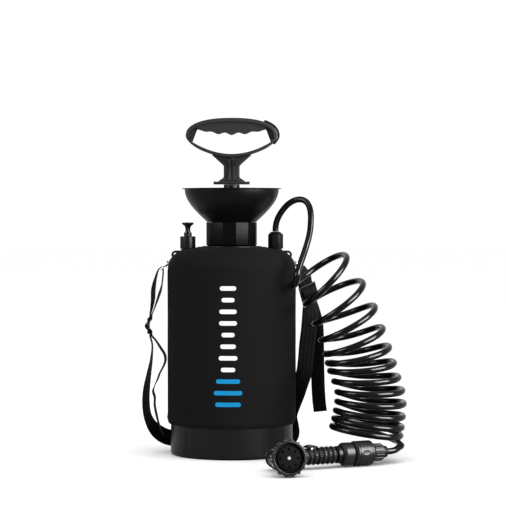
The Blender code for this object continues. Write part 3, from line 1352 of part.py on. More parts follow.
def make_spray_head(frame, head, shell_low):
    shell_high = HEAD_LENGTH - DIAL_LENGTH
    shell = [
        (BARREL_RADIUS - 1.5 * MM + SEAT_GAP, shell_low - 5 * MM),
        (BARREL_RADIUS + MM, shell_low - 5 * MM),
        (HEAD_RADIUS - 2 * MM, shell_low + 8 * MM),
        (HEAD_RADIUS, shell_high - 3 * MM),
        (HEAD_RADIUS, shell_high),
        (HEAD_RADIUS - 3 * MM, shell_high),
        (HEAD_RADIUS - 5 * MM, shell_low + 9 * MM),
        (BARREL_RADIUS - 1.5 * MM + SEAT_GAP, shell_low + SEAT_GAP),
    ]
    shell = add("head_shell", lathe(shell, 24), *SATIN_PLASTIC)
    ring_low = shell_high + SEAT_GAP
    wall = DIAL_RADIUS - FACE_RADIUS - SEAT_GAP
    ring = [
        (DIAL_RADIUS - wall, ring_low),
        (DIAL_RADIUS - 2.5 * MM, ring_low),
        (DIAL_RADIUS, ring_low + 3 * MM),
        (DIAL_RADIUS, HEAD_LENGTH - 2 * MM),
        (DIAL_RADIUS - 2 * MM, HEAD_LENGTH),
        (DIAL_RADIUS - wall + MM, HEAD_LENGTH),
        (DIAL_RADIUS - wall, HEAD_LENGTH - 2 * MM),
    ]
    knobs = [
        moved(rod(DIAL_KNOB_RADIUS, ring_low + 2.5 * MM, HEAD_LENGTH - 3 * MM, 6), shift(x, y))
        for x, y in ring_points(DIAL_RADIUS - 1.2 * MM, DIAL_KNOBS)
    ]
    dial = joined(lathe(ring, 24), *knobs)
    for vert in dial.vertices:
        radius = math.hypot(vert.co.x, vert.co.y)
        if radius > FACE_RADIUS + 2 * MM:
            shrink = 1 - DIAL_TAPER * (HEAD_LENGTH - vert.co.z) / radius
            vert.co.x *= shrink
            vert.co.y *= shrink
    dial = add("spray_dial", dial, *BLACK_PLASTIC)
    face_high = HEAD_LENGTH - FACE_RECESS
    face_low = face_high - FACE_THICKNESS
    plate_bore = CENTRE_CAP_RADIUS / 2
    plate = [
        (plate_bore, face_low),
        (FACE_RADIUS, face_low),
        (FACE_RADIUS, face_high),
        (plate_bore, face_high),
    ]
    holes = [
        moved(rod(PATTERN_HOLE_RADIUS, face_low - MM, face_high + MM, 6), shift(x, y))
        for x, y in ring_points(PATTERN_CIRCLE, PATTERN_HOLES)
    ]
    plate = add("nozzle_face", cut(lathe(plate, 24), together(*holes)), (0.018, 0.018, 0.018), 0.5)
    stud = CENTRE_CAP_RADIUS / 2 - SEAT_GAP
    dot = [
        (0, face_low), (stud, face_low), (stud, face_high + SEAT_GAP),
        (CENTRE_CAP_RADIUS, face_high + SEAT_GAP), (CENTRE_CAP_RADIUS - 0.6 * MM, face_high + 1.8 * MM),
        (0, face_high + 2.2 * MM),
    ]
    dot = add("centre_cap", lathe(dot, 16), (0.7, 0.7, 0.7), 0.4)
    rear_high = -BARREL_REAR - SEAT_GAP
    rear = [
        (0, rear_high - REAR_CAP_LENGTH),
        (REAR_CAP_RADIUS * 0.6, rear_high - REAR_CAP_LENGTH * 0.88),
        (REAR_CAP_RADIUS * 0.92, rear_high - REAR_CAP_LENGTH * 0.5),
        (REAR_CAP_RADIUS, rear_high),
        (0, rear_high),
    ]
    rear = add("rear_cap", lathe(rear, 24), (0.02, 0.02, 0.02), 0.08)
    for piece in (shell, dial, plate, dot, rear):
        under(frame, piece)
        piece.matrix_local = head


# Snap hooks. Their frame has its origin beside the lug's hole and -Z towards the eye.
def make_hook(side, lean, eye_turn):
    name = "left" if side < 0 else "right"
    half, leg, wire = HOOK_HALF_WIDTH, HOOK_LEG, HOOK_WIRE
    hang = LUG_HOLE_RADIUS - wire - SEAT_GAP - 0.4 * MM
    at = shift(side * LUG_HOLE_X, 0, LUG_HOLE_Z) @ turn(lean, "Y") @ shift(z=-hang)
    frame = axis_frame(f"{name}_hook_axis", at)
    bend = [
        (0, half * math.cos(a), half * math.sin(a) - half)
        for a in (math.radians(30 * k) for k in range(7))
    ]
    nose = -half - 1.2 * MM
    bow = wire_mesh([(0, half, -leg), *bend, (0, -half, nose)], wire, 1)
    base_top = -leg + MM
    base_low = base_top - HOOK_BASE_HEIGHT
    base_size = (2 * HOOK_BASE_HALF, 2 * (half + wire), HOOK_BASE_HEIGHT)
    base = block(base_size, (0, 0, (base_top + base_low) / 2))
    barrel_low = base_low - HOOK_BARREL_LENGTH
    barrel = rod(HOOK_BARREL_RADIUS, barrel_low, base_low + 1.5 * MM, 16)
    pivot_z = base_low + 2.3 * MM
    slot_size = (2 * (GATE_WIRE + SEAT_GAP), 6 * MM, HOOK_BASE_HEIGHT)
    slot = block(slot_size, (0, -half + 0.4 * MM, base_low + 1.0 * MM + HOOK_BASE_HEIGHT / 2))
    pin_hole = moved(rod(GATE_PIN_RADIUS + SEAT_GAP, -5 * MM, 5 * MM, 12), turn(90, "Y"))
    pin_hole = moved(pin_hole, shift(y=-half, z=pivot_z))
    hook = add(f"{name}_hook", cut(joined(base, bow, barrel), slot, pin_hole), *STEEL)

    length = nose - SEAT_GAP - pivot_z
    bar = wire_mesh([(0, 0, 0), (0, 0, length / 2), (0, 0, length)], GATE_WIRE, 1)
    pin = moved(rod(GATE_PIN_RADIUS, -HOOK_BASE_HALF, HOOK_BASE_HALF, 12), turn(90, "Y"))
    gate = add(f"{name}_gate", joined(bar, pin), *STEEL)
    gate.location = (0, -half, pivot_z)

    top = barrel_low - SEAT_GAP
    wide = EYE_INNER_WIDTH / 2
    high, low = top - EYE_BAR, top - EYE_BAR - EYE_OPENING
    corner = 2.5 * MM
    end, foot = wide + EYE_BAR, low - EYE_BAR
    outer = [(end - 1.2 * MM, foot), (end, low), (end, top - corner), (end - corner, top)]
    window = [(wide, low), (wide, high), (-wide, high), (-wide, low)]
    eye = add(f"{name}_eye", slab(mirrored(outer), EYE_BAR, [window]), *STEEL)
    under(frame, hook, gate, eye)
    eye.rotation_euler.z = math.radians(eye_turn)
    return at @ turn(eye_turn, "Z") @ shift(z=low - EYE_BAR / 2)


# Sliders and webbing
def make_slider(name, at):
    """A three-bar slider: two rails and three cross bars that the webbing weaves through."""
    half_width = WEBBING_WIDTH / 2 + 2 * SEAT_GAP
    outer = half_width + SLIDER_RAIL
    reach = SLIDER_BAR_PITCH + SLIDER_BAR / 2
    frame = [(-outer, -reach), (outer, -reach), (outer, reach), (-outer, reach)]
    gap = SLIDER_BAR / 2
    windows = [
        [(-half_width, low), (half_width, low), (half_width, high), (-half_width, high)]
        for low, high in ((gap, SLIDER_BAR_PITCH - gap), (-SLIDER_BAR_PITCH + gap, -gap))
    ]
    slider = add(name, slab(frame, SLIDER_BAR, windows), *BLACK_PLASTIC)
    slider.matrix_world = at


def wrap_radius(bar):
    """Middle of webbing that goes round a square bar, clear of its corners."""
    return bar * math.sqrt(0.5) + SEAT_GAP + WEBBING_THICKNESS / 2


def through_slider(at, layer):
    """One layer of webbing, upward: behind the outer bars and in front of the middle one."""
    near = SLIDER_BAR / 2 + SEAT_GAP + WEBBING_THICKNESS / 2
    spread = WEBBING_THICKNESS + 1.0 * MM
    swing = near + spread / 2
    across = at.to_3x3() @ Vector((1, 0, 0))
    flat = SLIDER_BAR / 2 + SEAT_GAP
    upper = [(0, -1), (flat, -1), (SLIDER_BAR_PITCH / 2, 0)]
    upper += [(SLIDER_BAR_PITCH + shifted, 1) for shifted in (-flat, flat, 2 * flat)]
    steps = [(-height, wave) for height, wave in upper[:0:-1]] + upper
    return [
        (at @ Vector((0, layer * spread / 2 + swing * wave, height)), across)
        for height, wave in steps
    ]


def round_eye(at, first, last, steps=6):
    """Webbing over the eye's bar, from the outer side to the inner one."""
    wrap = wrap_radius(EYE_BAR)
    across = at.to_3x3() @ Vector((1, 0, 0))
    angles = [math.radians(first + (last - first) * k / (steps - 1)) for k in range(steps)]
    return [(at @ Vector((0, wrap * math.cos(a), wrap * math.sin(a))), across) for a in angles]


def sewn_end(side):
    """The strap's end: behind the bracket's bar, round it and back over itself."""
    bar = anchor_bar_radius()
    wrap = wrap_radius(SLIDER_BAR)
    angle = math.radians(90 - side * (90 - ANCHOR_ANGLE))
    middle_z = ANCHOR_LOW_Z + ANCHOR_RAIL + SEAT_GAP + WEBBING_WIDTH / 2
    turned = [math.radians(45 * k - 90) for k in range(5)]
    path = [
        (-19 * MM, -1.9 * MM),
        (-11 * MM, -2.1 * MM),
        (-5 * MM, -2.5 * MM),
        *[(wrap * math.cos(a), wrap * math.sin(a)) for a in turned],
        (-5 * MM, 2.2 * MM),
        (-11 * MM, 0.7 * MM),
        (-19 * MM, 0.5 * MM),
    ]
    points = []
    for along, out in path:
        a = angle + side * along / bar
        radius = bar + out
        points.append(((radius * math.cos(a), radius * math.sin(a), middle_z), (0, 0, 1)))
    return points


def make_left_strap(eye):
    slider = shift(-0.1295, 0.0100, 0.1980) @ turn(-90, "Z")
    make_slider("left_slider", slider)
    along_y = (0.0, 1.0, 0.0)
    rise = [
        ((-0.0935, 0.0430, 0.0190), (0.1, 0.1, 1.0)),
        ((-0.1030, 0.0350, 0.0220), (0.25, 0.25, 0.9)),
        ((-0.1135, 0.0275, 0.0285), (0.42, 0.5, 0.72)),
        ((-0.1230, 0.0220, 0.0380), (0.45, 0.72, 0.45)),
        ((-0.1305, 0.0180, 0.0530), (0.42, 0.88, 0.15)),
        ((-0.1340, 0.0150, 0.0760), (0.40, 0.92, 0.0)),
        ((-0.1330, 0.0130, 0.0985), (0.36, 0.93, 0.0)),
        ((-0.1290, 0.0115, 0.1240), (0.22, 0.97, 0.0)),
        ((-0.1250, 0.0105, 0.1480), (0.08, 1.0, 0.0)),
        ((-0.1240, 0.0100, 0.1700), along_y),
    ]
    outer_strand = [
        ((-0.1250, 0.0095, 0.2230), along_y),
        ((-0.1225, 0.0080, 0.2390), along_y),
        ((-0.1216, 0.0050, 0.2560), along_y),
        ((-0.1180, 0.0020, 0.2730), along_y),
    ]
    inner_strand = [
        ((-0.1068, 0.0010, 0.2740), along_y),
        ((-0.1085, 0.0028, 0.2620), along_y),
        ((-0.1116, 0.0050, 0.2500), along_y),
        ((-0.1155, 0.0075, 0.2380), along_y),
        ((-0.1205, 0.0095, 0.2240), along_y),
    ]
    tail = [
        ((-0.1190, 0.0100, 0.1760), along_y),
        ((-0.1110, 0.0100, 0.1640), along_y),
        ((-0.1030, 0.0100, 0.1490), along_y),
        ((-0.1050, 0.0100, 0.1360), along_y),
        ((-0.1120, 0.0100, 0.1230), along_y),
        ((-0.1185, 0.0100, 0.1100), along_y),
        ((-0.1214, 0.0100, 0.0960), along_y),
        ((-0.1190, 0.0100, 0.0800), along_y),
        ((-0.1172, 0.0100, 0.0620), along_y),
        ((-0.1130, 0.0080, 0.0430), along_y),
        ((-0.1066, 0.0060, 0.0280), along_y),
    ]
    make_strap("left_strap", -1, rise, slider, outer_strand, (eye, 188, 37), inner_strand, tail)


def make_right_strap(eye):
    slider = shift(0.1195, 0.0110, 0.2500) @ turn(-15, "Y") @ turn(14, "X") @ turn(30, "Z")
    make_slider("right_slider", slider)
    along_x = (-1.0, 0.0, 0.0)
    rise = [
        ((0.0920, 0.0460, 0.0192), (-0.15, 0.1, 0.98)),
        ((0.0985, 0.0410, 0.0255), (-0.35, 0.25, 0.9)),
        ((0.1030, 0.0385, 0.0370), (-0.7, 0.4, 0.55)),
        ((0.1045, 0.0375, 0.0540), (-0.88, 0.42, 0.15)),
        ((0.1045, 0.0370, 0.0760), (-0.9, 0.42, 0.0)),
        ((0.1052, 0.0360, 0.0930), (-0.93, 0.35, 0.0)),
        ((0.1080, 0.0330, 0.1060), (-0.96, 0.25, 0.0)),
        ((0.1130, 0.0290, 0.1230), (-1.0, 0.1, 0.0)),
        ((0.1155, 0.0260, 0.1420), along_x),
        ((0.1175, 0.0230, 0.1666), along_x),
        ((0.1205, 0.0195, 0.1930), along_x),
        ((0.1220, 0.0160, 0.2180), (-1.0, -0.2, 0.0)),
    ]
    outer_strand = [((0.1130, 0.0035, 0.2735), (-0.7, -0.7, 0.0))]
    inner_strand = [((0.1095, 0.0085, 0.2715), (-0.7, -0.7, 0.0))]
    tail = [
        ((0.1255, 0.0230, 0.2190), (-1.0, 0.0, 0.0)),
        ((0.1300, 0.0255, 0.2050), (-0.95, 0.3, 0.0)),
        ((0.1328, 0.0265, 0.1880), (-0.85, 0.52, 0.0)),
        ((0.1336, 0.0275, 0.1680), (-0.82, 0.57, 0.0)),
        ((0.1340, 0.0290, 0.1420), (-0.82, 0.57, 0.0)),
        ((0.1346, 0.0300, 0.1170), (-0.82, 0.57, 0.0)),
        ((0.1356, 0.0305, 0.0920), (-0.82, 0.57, 0.0)),
        ((0.1370, 0.0300, 0.0740), (-0.82, 0.57, 0.0)),
        ((0.1386, 0.0295, 0.0620), (-0.82, 0.57, 0.0)),
    ]
    make_strap("right_strap", 1, rise, slider, outer_strand, (eye, 201, 21), inner_strand, tail)


def make_strap(name, side, rise, slider, outer_strand, eye_wrap, inner_strand, tail):
    """One band from the bracket up through the slider, over the hook's eye and back down."""
    route = [
        *sewn_end(side),
        *rise,
        *through_slider(slider, -1),
        *outer_strand,
        *round_eye(*eye_wrap),
        *inner_strand,
        *through_slider(slider, 1)[::-1],
        *tail,
    ]
    print(f"{name}: {length_of([place for place, _ in route]):.3f} m")
    add(name, ribbon(route, WEBBING_WIDTH, WEBBING_THICKNESS), (0.02, 0.02, 0.021), 0.8)


def main():
    make_tank()
    make_sleeve()
    make_funnel()
    make_pump()
    make_piston()
    make_handle()
    make_relief_valve()
    make_hose_outlet()
    wand = shift(*MOUTH_AT, WAND_Z) @ turn(WAND_HEADING, "Z")
    frame = axis_frame("connector_axis", wand)
    hose_end, seal = make_connector(frame)
    make_handset(frame, seal)
    heading = np.array((wand.to_3x3() @ Vector((1, 0, 0)))[:])
    make_hose(np.array((wand @ Vector((hose_end, 0, 0)))[:]), heading)
    make_left_strap(make_hook(-1, LEFT_HOOK_LEAN, -90))
    make_right_strap(make_hook(1, RIGHT_HOOK_LEAN, RIGHT_EYE_TURN))


main()
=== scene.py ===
# %% [markdown]
# # A portable pressure shower
# A tank in a neoprene sleeve stands upright with a filling funnel and a hand pump on its neck.
# Its hose is wound beside it and ends in a spray handset on the ground. The solid model gives
# every size; this lesson makes the surfaces that the eye and the light see.

# %% The frame and its size
import json
import math

import bmesh
import bpy
import numpy as np
from mathutils import Matrix, Vector, noise
from mathutils.bvhtree import BVHTree


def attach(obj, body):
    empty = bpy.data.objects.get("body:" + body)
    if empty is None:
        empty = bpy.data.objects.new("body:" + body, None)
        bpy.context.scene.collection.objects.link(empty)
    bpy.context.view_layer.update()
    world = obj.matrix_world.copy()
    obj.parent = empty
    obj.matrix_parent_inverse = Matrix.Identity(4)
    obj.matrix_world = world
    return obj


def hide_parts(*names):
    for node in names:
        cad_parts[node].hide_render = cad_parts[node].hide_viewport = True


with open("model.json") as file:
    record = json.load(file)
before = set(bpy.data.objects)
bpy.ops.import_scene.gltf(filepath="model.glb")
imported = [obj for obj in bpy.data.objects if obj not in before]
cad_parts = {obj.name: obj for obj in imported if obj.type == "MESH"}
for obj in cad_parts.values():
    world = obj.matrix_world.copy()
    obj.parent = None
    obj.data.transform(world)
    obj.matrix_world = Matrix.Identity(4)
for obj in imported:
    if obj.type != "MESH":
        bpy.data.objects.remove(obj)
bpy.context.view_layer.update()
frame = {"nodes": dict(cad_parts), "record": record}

MM = 0.001

# %% [markdown]
# ## Camera and light
# A product picture is taken with a long lens from far away, a little above the middle of the
# object, so that upright edges stay upright. A short lens close by would fill the frame as well,
# but it would bulge the tank. The lens is counted in the picture's own points: 3.1 metres away,
# one metre of the object is 645 points of the picture, so the lens is 3.1 times that, 2000 points
# long.

# %% Camera
CAMERA_PLACE = (0.033, -3.1, 0.373)
CAMERA_PITCH = 1.23
LENS_POINTS = 2000
PICTURE_HEIGHT = 512
SENSOR = 36.0
FARTHEST_SEEN = 50.0

camera_data = bpy.data.cameras.new("camera")
camera_data.sensor_width = SENSOR
camera_data.lens = SENSOR * LENS_POINTS / PICTURE_HEIGHT
camera_data.clip_end = FARTHEST_SEEN
camera = bpy.data.objects.new("camera", camera_data)
camera.location = CAMERA_PLACE
camera.rotation_euler = (math.radians(90 - CAMERA_PITCH), 0, 0)
bpy.context.scene.collection.objects.link(camera)
bpy.context.scene.camera = camera
print(f"lens: {camera_data.lens:.0f} mm")

# %% [markdown]
# A white room lights black plastic best: what is seen on it is mostly the room's reflection. Two
# tall soft boxes stand left and right and a wide one hangs above. Brighter boxes would grey the
# cloth, so two strong panels beside them are hidden from dull surfaces: they only show as
# reflections, and draw the short, hard highlights that every turn of the shiny hose carries.

# %% Soft boxes and floor
SOFT_BOXES = {
    "left_box": ((-1.9, -1.6, 1.2), (1.0, 1.8), 8.0),
    "right_box": ((2.0, -1.1, 1.1), (0.7, 1.8), 8.0),
    "top_box": ((0.1, -0.3, 2.2), (2.0, 1.0), 14.0),
}
GLOSS_PANELS = {
    "left_panel": ((-1.75, -1.0, 1.1), (1.0, 0.8), 90.0),
    "right_panel": ((1.65, -1.15, 1.0), (1.6, 1.4), 500.0),
}
LIGHT_AIM = Vector((0.05, 0.0, 0.22))
ROOM_LIGHT = 1.05


def soft_box(name, place, size, power):
    light = bpy.data.lights.new(name, "AREA")
    light.shape = "RECTANGLE"
    light.size, light.size_y = size
    light.energy = power
    lamp = bpy.data.objects.new(name, light)
    lamp.location = place
    lamp.rotation_euler = (LIGHT_AIM - Vector(place)).to_track_quat("-Z", "Y").to_euler()
    bpy.context.scene.collection.objects.link(lamp)
    return lamp


for box_name, (place, size, power) in SOFT_BOXES.items():
    soft_box(box_name, place, size, power)
for box_name, (place, size, power) in GLOSS_PANELS.items():
    soft_box(box_name, place, size, power).visible_diffuse = False
world = bpy.data.worlds.new("room")
world.use_nodes = True
background = world.node_tree.nodes["Background"]
background.inputs["Color"].default_value = (1.0, 1.0, 1.0, 1.0)
background.inputs["Strength"].default_value = ROOM_LIGHT
bpy.context.scene.world = world
bpy.context.scene.view_settings.view_transform = "Standard"
print("lights:", ", ".join([*SOFT_BOXES, *GLOSS_PANELS]))

# %% [markdown]
# ## A maker's tools
# Real turned and moulded parts have no knife edges. A Bevel modifier could soften them later, but
# in a turned part it is cheaper and neater to put a small arc in place of each corner of the
# outline before it is turned. The arc is what catches the light as a thin bright line.


# %% Clean meshes and rounded outlines
SAME_POINT = 1e-6
NEARLY_STRAIGHT = math.radians(82)
ARC_SHARE = 0.45


def clean(bm, name="shape"):
    bmesh.ops.remove_doubles(bm, verts=bm.verts[:], dist=SAME_POINT)
    bmesh.ops.recalc_face_normals(bm, faces=bm.faces[:])
    mesh = bpy.data.meshes.new(name)
    bm.to_mesh(mesh)
    bm.free()
    return mesh


def rounded(corners, radius, steps=4):
    """The closed outline with an arc in place of each corner; a third number is its own radius."""
    result = []
    for k, corner in enumerate(corners):
        here = Vector(corner[:2])
        own = corner[2] if len(corner) > 2 else radius
        a = Vector(corners[k - 1][:2]) - here
        b = Vector(corners[(k + 1) % len(corners)][:2]) - here
        on_axis = here.x < SAME_POINT
        if on_axis or own == 0 or min(a.length, b.length) < SAME_POINT / 10:
            result.append(tuple(here))
            continue
        half = a.angle(b) / 2
        if half > NEARLY_STRAIGHT:
            result.append(tuple(here))
            continue
        run = min(own / math.tan(half), ARC_SHARE * a.length, ARC_SHARE * b.length)
        arc = run * math.tan(half)
        centre = here + (a.normalized() + b.normalized()).normalized() * (arc / math.sin(half))
        start, end = here + a.normalized() * run, here + b.normalized() * run
        for i in range(steps + 1):
            point = start.lerp(end, i / steps) - centre
            result.append(tuple(centre + point.normalized() * arc))
    return result


square = [(1.0, 0.0), (2.0, 0.0), (2.0, 1.0), (1.0, 1.0)]
print("a square with rounded corners has", len(rounded(square, 0.1)), "points")

# %% [markdown]
# Most pieces are round: an outline of (radius, height) goes once round Z, as on a lathe. The
# Screw modifier does that too. Here the spin is done on the mesh itself, so that the points on
# the axis can be merged at once and the poles are closed.


# %% Turning
def turned(profile, sides=96, start=0.0):
    """A closed (radius, z) outline turned about Z."""
    bm = bmesh.new()
    verts = [bm.verts.new((r, 0.0, z)) for r, z in profile]
    edges = [bm.edges.new(pair) for pair in zip(verts, verts[1:] + verts[:1])]
    bmesh.ops.spin(
        bm, geom=verts + edges, axis=(0, 0, 1), cent=(0, 0, 0), angle=2 * math.pi,
        steps=sides, use_merge=True,
    )
    bmesh.ops.remove_doubles(bm, verts=bm.verts[:], dist=SAME_POINT)
    on_axis = [edge for edge in bm.edges if not edge.link_faces]
    bmesh.ops.delete(bm, geom=on_axis, context="EDGES")
    bmesh.ops.rotate(bm, verts=bm.verts[:], matrix=Matrix.Rotation(start, 3, "Z"))
    return clean(bm)


def rod(radius, low, high, sides=32, edge=0.0):
    corners = [(0, low), (radius, low), (radius, high), (0, high)]
    return turned(rounded(corners, edge) if edge else corners, sides)


def ring_points(radius, count, start=0.0):
    angles = [start + 2 * math.pi * k / count for k in range(count)]
    return [(radius * math.cos(a), radius * math.sin(a)) for a in angles]


print("turned parts have", turned.__defaults__[0], "sides unless they say otherwise")

# %% [markdown]
# What isn't round is cut from flat stock: an outline in the XZ plane, with holes, is given a
# thickness along Y. Both faces are filled with triangles, because an outline with holes has no
# simple fill, and triangles that lie in one plane are then merged into whole faces.


# %% Slabs and blocks
FLAT_ANGLE = 0.01


def slab(outline, thickness, holes=()):
    """An (x, z) outline with straight holes, given a thickness along Y."""
    bm = bmesh.new()

    def loop(y, points):
        verts = [bm.verts.new((x, y, z)) for x, z in points]
        return verts, [bm.edges.new(pair) for pair in zip(verts, verts[1:] + verts[:1])]

    ends = [[], []]
    for points in (outline, *holes):
        front, back = loop(-thickness / 2, points), loop(thickness / 2, points)
        for k in range(len(points)):
            bm.faces.new((front[0][k - 1], front[0][k], back[0][k], back[0][k - 1]))
        ends[0] += front[1]
        ends[1] += back[1]
    for edges in ends:
        bmesh.ops.triangle_fill(bm, use_beauty=True, use_dissolve=False, edges=edges)
    bmesh.ops.dissolve_limit(bm, angle_limit=FLAT_ANGLE, verts=bm.verts[:], edges=bm.edges[:])
    return clean(bm)


def mirrored(half):
    left = [(-x, z) for x, z in reversed(half) if x > SAME_POINT]
    return [*half, *left]


def block(size, centre):
    bm = bmesh.new()
    bmesh.ops.create_cube(bm, size=1.0)
    bmesh.ops.scale(bm, verts=bm.verts[:], vec=size)
    bmesh.ops.translate(bm, verts=bm.verts[:], vec=centre)
    return clean(bm)


print("half a roof, mirrored:", mirrored([(1.0, 0.0), (0.0, 1.0)]))

# %% [markdown]
# A part is moved in its mesh and not by its object, so every object stays at the origin and a
# pattern that follows the object stays where it belongs.


# %% Moving
def shift(x=0.0, y=0.0, z=0.0):
    return Matrix.Translation((x, y, z))


def turn(degrees, axis):
    return Matrix.Rotation(math.radians(degrees), 4, axis)


def moved(mesh, matrix):
    mesh.transform(matrix)
    return mesh


print("a quarter turn about Z takes X to", [round(v) for v in turn(90, "Z") @ Vector((1, 0, 0))])

# %% [markdown]
# Parts are fused and cut by Booleans, and sharp edges are eased by a Bevel. Left live on an
# object, such modifiers would be worked out again for every picture, so each result is taken at
# once as a plain mesh, which then goes into the next step.


# %% Fusing and easing
def as_object(name, mesh):
    obj = bpy.data.objects.new(name, mesh)
    bpy.context.scene.collection.objects.link(obj)
    return obj


def with_modifiers(obj, *steps):
    """The object's plain mesh after the given (type, settings) modifiers; the object is removed."""
    for kind, settings in steps:
        modifier = obj.modifiers.new(kind.title(), kind)
        for key, value in settings.items():
            setattr(modifier, key, value)
    graph = bpy.context.evaluated_depsgraph_get()
    mesh = bpy.data.meshes.new_from_object(obj.evaluated_get(graph))
    bpy.data.objects.remove(obj, do_unlink=True)
    return mesh


def fused(mesh, others, operation, solver="EXACT"):
    tools = [as_object("tool", other) for other in others]
    steps = [("BOOLEAN", {"operation": operation, "solver": solver, "object": t}) for t in tools]
    result = with_modifiers(as_object("body", mesh), *steps)
    for tool in tools:
        bpy.data.objects.remove(tool, do_unlink=True)
    return result


def joined(mesh, *others):
    return fused(mesh, others, "UNION")


def cut(mesh, *others):
    return fused(mesh, others, "DIFFERENCE")


def together(*meshes):
    bm = bmesh.new()
    for mesh in meshes:
        bm.from_mesh(mesh)
    return clean(bm)


def eased(mesh, width=0.5 * MM, angle=32.0, segments=3):
    """The mesh with each sharp edge worn to a small radius."""
    bevel = {
        "width": width, "segments": segments, "limit_method": "ANGLE",
        "angle_limit": math.radians(angle), "miter_outer": "MITER_ARC",
        "use_clamp_overlap": True, "harden_normals": False,
    }
    return with_modifiers(as_object("eased", mesh), ("BEVEL", bevel))


print("edges are eased by", eased.__defaults__[0] / MM, "mm unless they say otherwise")

# %% [markdown]
# A finished piece takes the place of its solid: the solid stays for the simulation and is no
# longer shown, and the piece rides on the same body, so it moves as the solid does. Some small
# pieces have no solid of their own, such as stitches, and ride with the piece that carries them.
# Where the solid's own shape is good, a copy of it with merged faces and eased edges is enough.

# %% Placing a piece
BODY_OF = {n: b for b, members in frame["record"]["behaviour"]["bodies"].items() for n in members}
LOOKS = {}


def painted(mesh, finish):
    mesh.materials.clear()
    mesh.materials.append(LOOKS[finish])
    return mesh


def riding(name, mesh, node):
    """A shown piece on the body of the node."""
    obj = as_object(name, mesh)
    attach(obj, BODY_OF[node])
    return obj


def piece(name, mesh, finish, nodes, angle=40.0):
    """A shown piece that stands for CAD nodes, with its finish, shaded smooth up to the angle."""
    painted(mesh, finish).shade_smooth()
    mesh.set_sharp_from_angle(angle=math.radians(angle))
    obj = riding(name, mesh, nodes[0])
    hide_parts(*nodes)
    return obj


def solid_copy(node, width):
    """A CAD node's shape with its triangles merged into whole faces and its edges eased."""
    bm = bmesh.new()
    bm.from_mesh(frame["nodes"][node].data)
    bmesh.ops.remove_doubles(bm, verts=bm.verts[:], dist=2 * SAME_POINT)
    bmesh.ops.dissolve_limit(bm, angle_limit=FLAT_ANGLE, verts=bm.verts[:], edges=bm.edges[:])
    mesh = bpy.data.meshes.new(node)
    bm.to_mesh(mesh)
    bm.free()
    return eased(mesh, width)


# %% [markdown]
# ## Finishes
# Each finish is a small network of nodes. They could be linked one by one, but twenty links hide
# what the finish does. Written as arithmetic it stays readable: a Number wraps one socket, and
# adding or multiplying Numbers adds the Math nodes that do it.


# %% Numbers
class Number:
    """A value that varies over a surface."""

    def __init__(self, finish, socket):
        self.finish = finish
        self.socket = socket

    def math(self, operation, *values):
        return self.finish.node("Math", {"operation": operation}, dict(enumerate(values)))

    def __add__(self, other):
        return self.math("ADD", self, other)

    def __radd__(self, other):
        return self.math("ADD", other, self)

    def __sub__(self, other):
        return self.math("SUBTRACT", self, other)

    def __rsub__(self, other):
        return self.math("SUBTRACT", other, self)

    def __mul__(self, other):
        return self.math("MULTIPLY", self, other)

    def __rmul__(self, other):
        return self.math("MULTIPLY", other, self)

    def __truediv__(self, other):
        return self.math("DIVIDE", self, other)

    def __abs__(self):
        return self.math("ABSOLUTE", self)

    def sine(self):
        return self.math("SINE", self)

    def floor(self):
        return self.math("FLOOR", self)

    def root(self):
        return self.math("SQRT", self)

    def most(self, other):
        return self.math("MAXIMUM", self, other)

    def step(self, low, high):
        """0 below low, 1 above high, and smooth between them."""
        settings = {"interpolation_type": "SMOOTHSTEP"}
        values = {"Value": self, "From Min": low, "From Max": high}
        return self.finish.node("MapRange", settings, values)


print("a Number knows", sum(not key.startswith("__") for key in vars(Number)), "more operations")

# %% [markdown]
# A Finish holds one material. Its base colour and roughness, and whatever is the same all over,
# go on the shader's sockets as plain values; only what changes over the surface is linked.
# Patterns read the place on the piece, or its flat map where they follow cloth or tube.


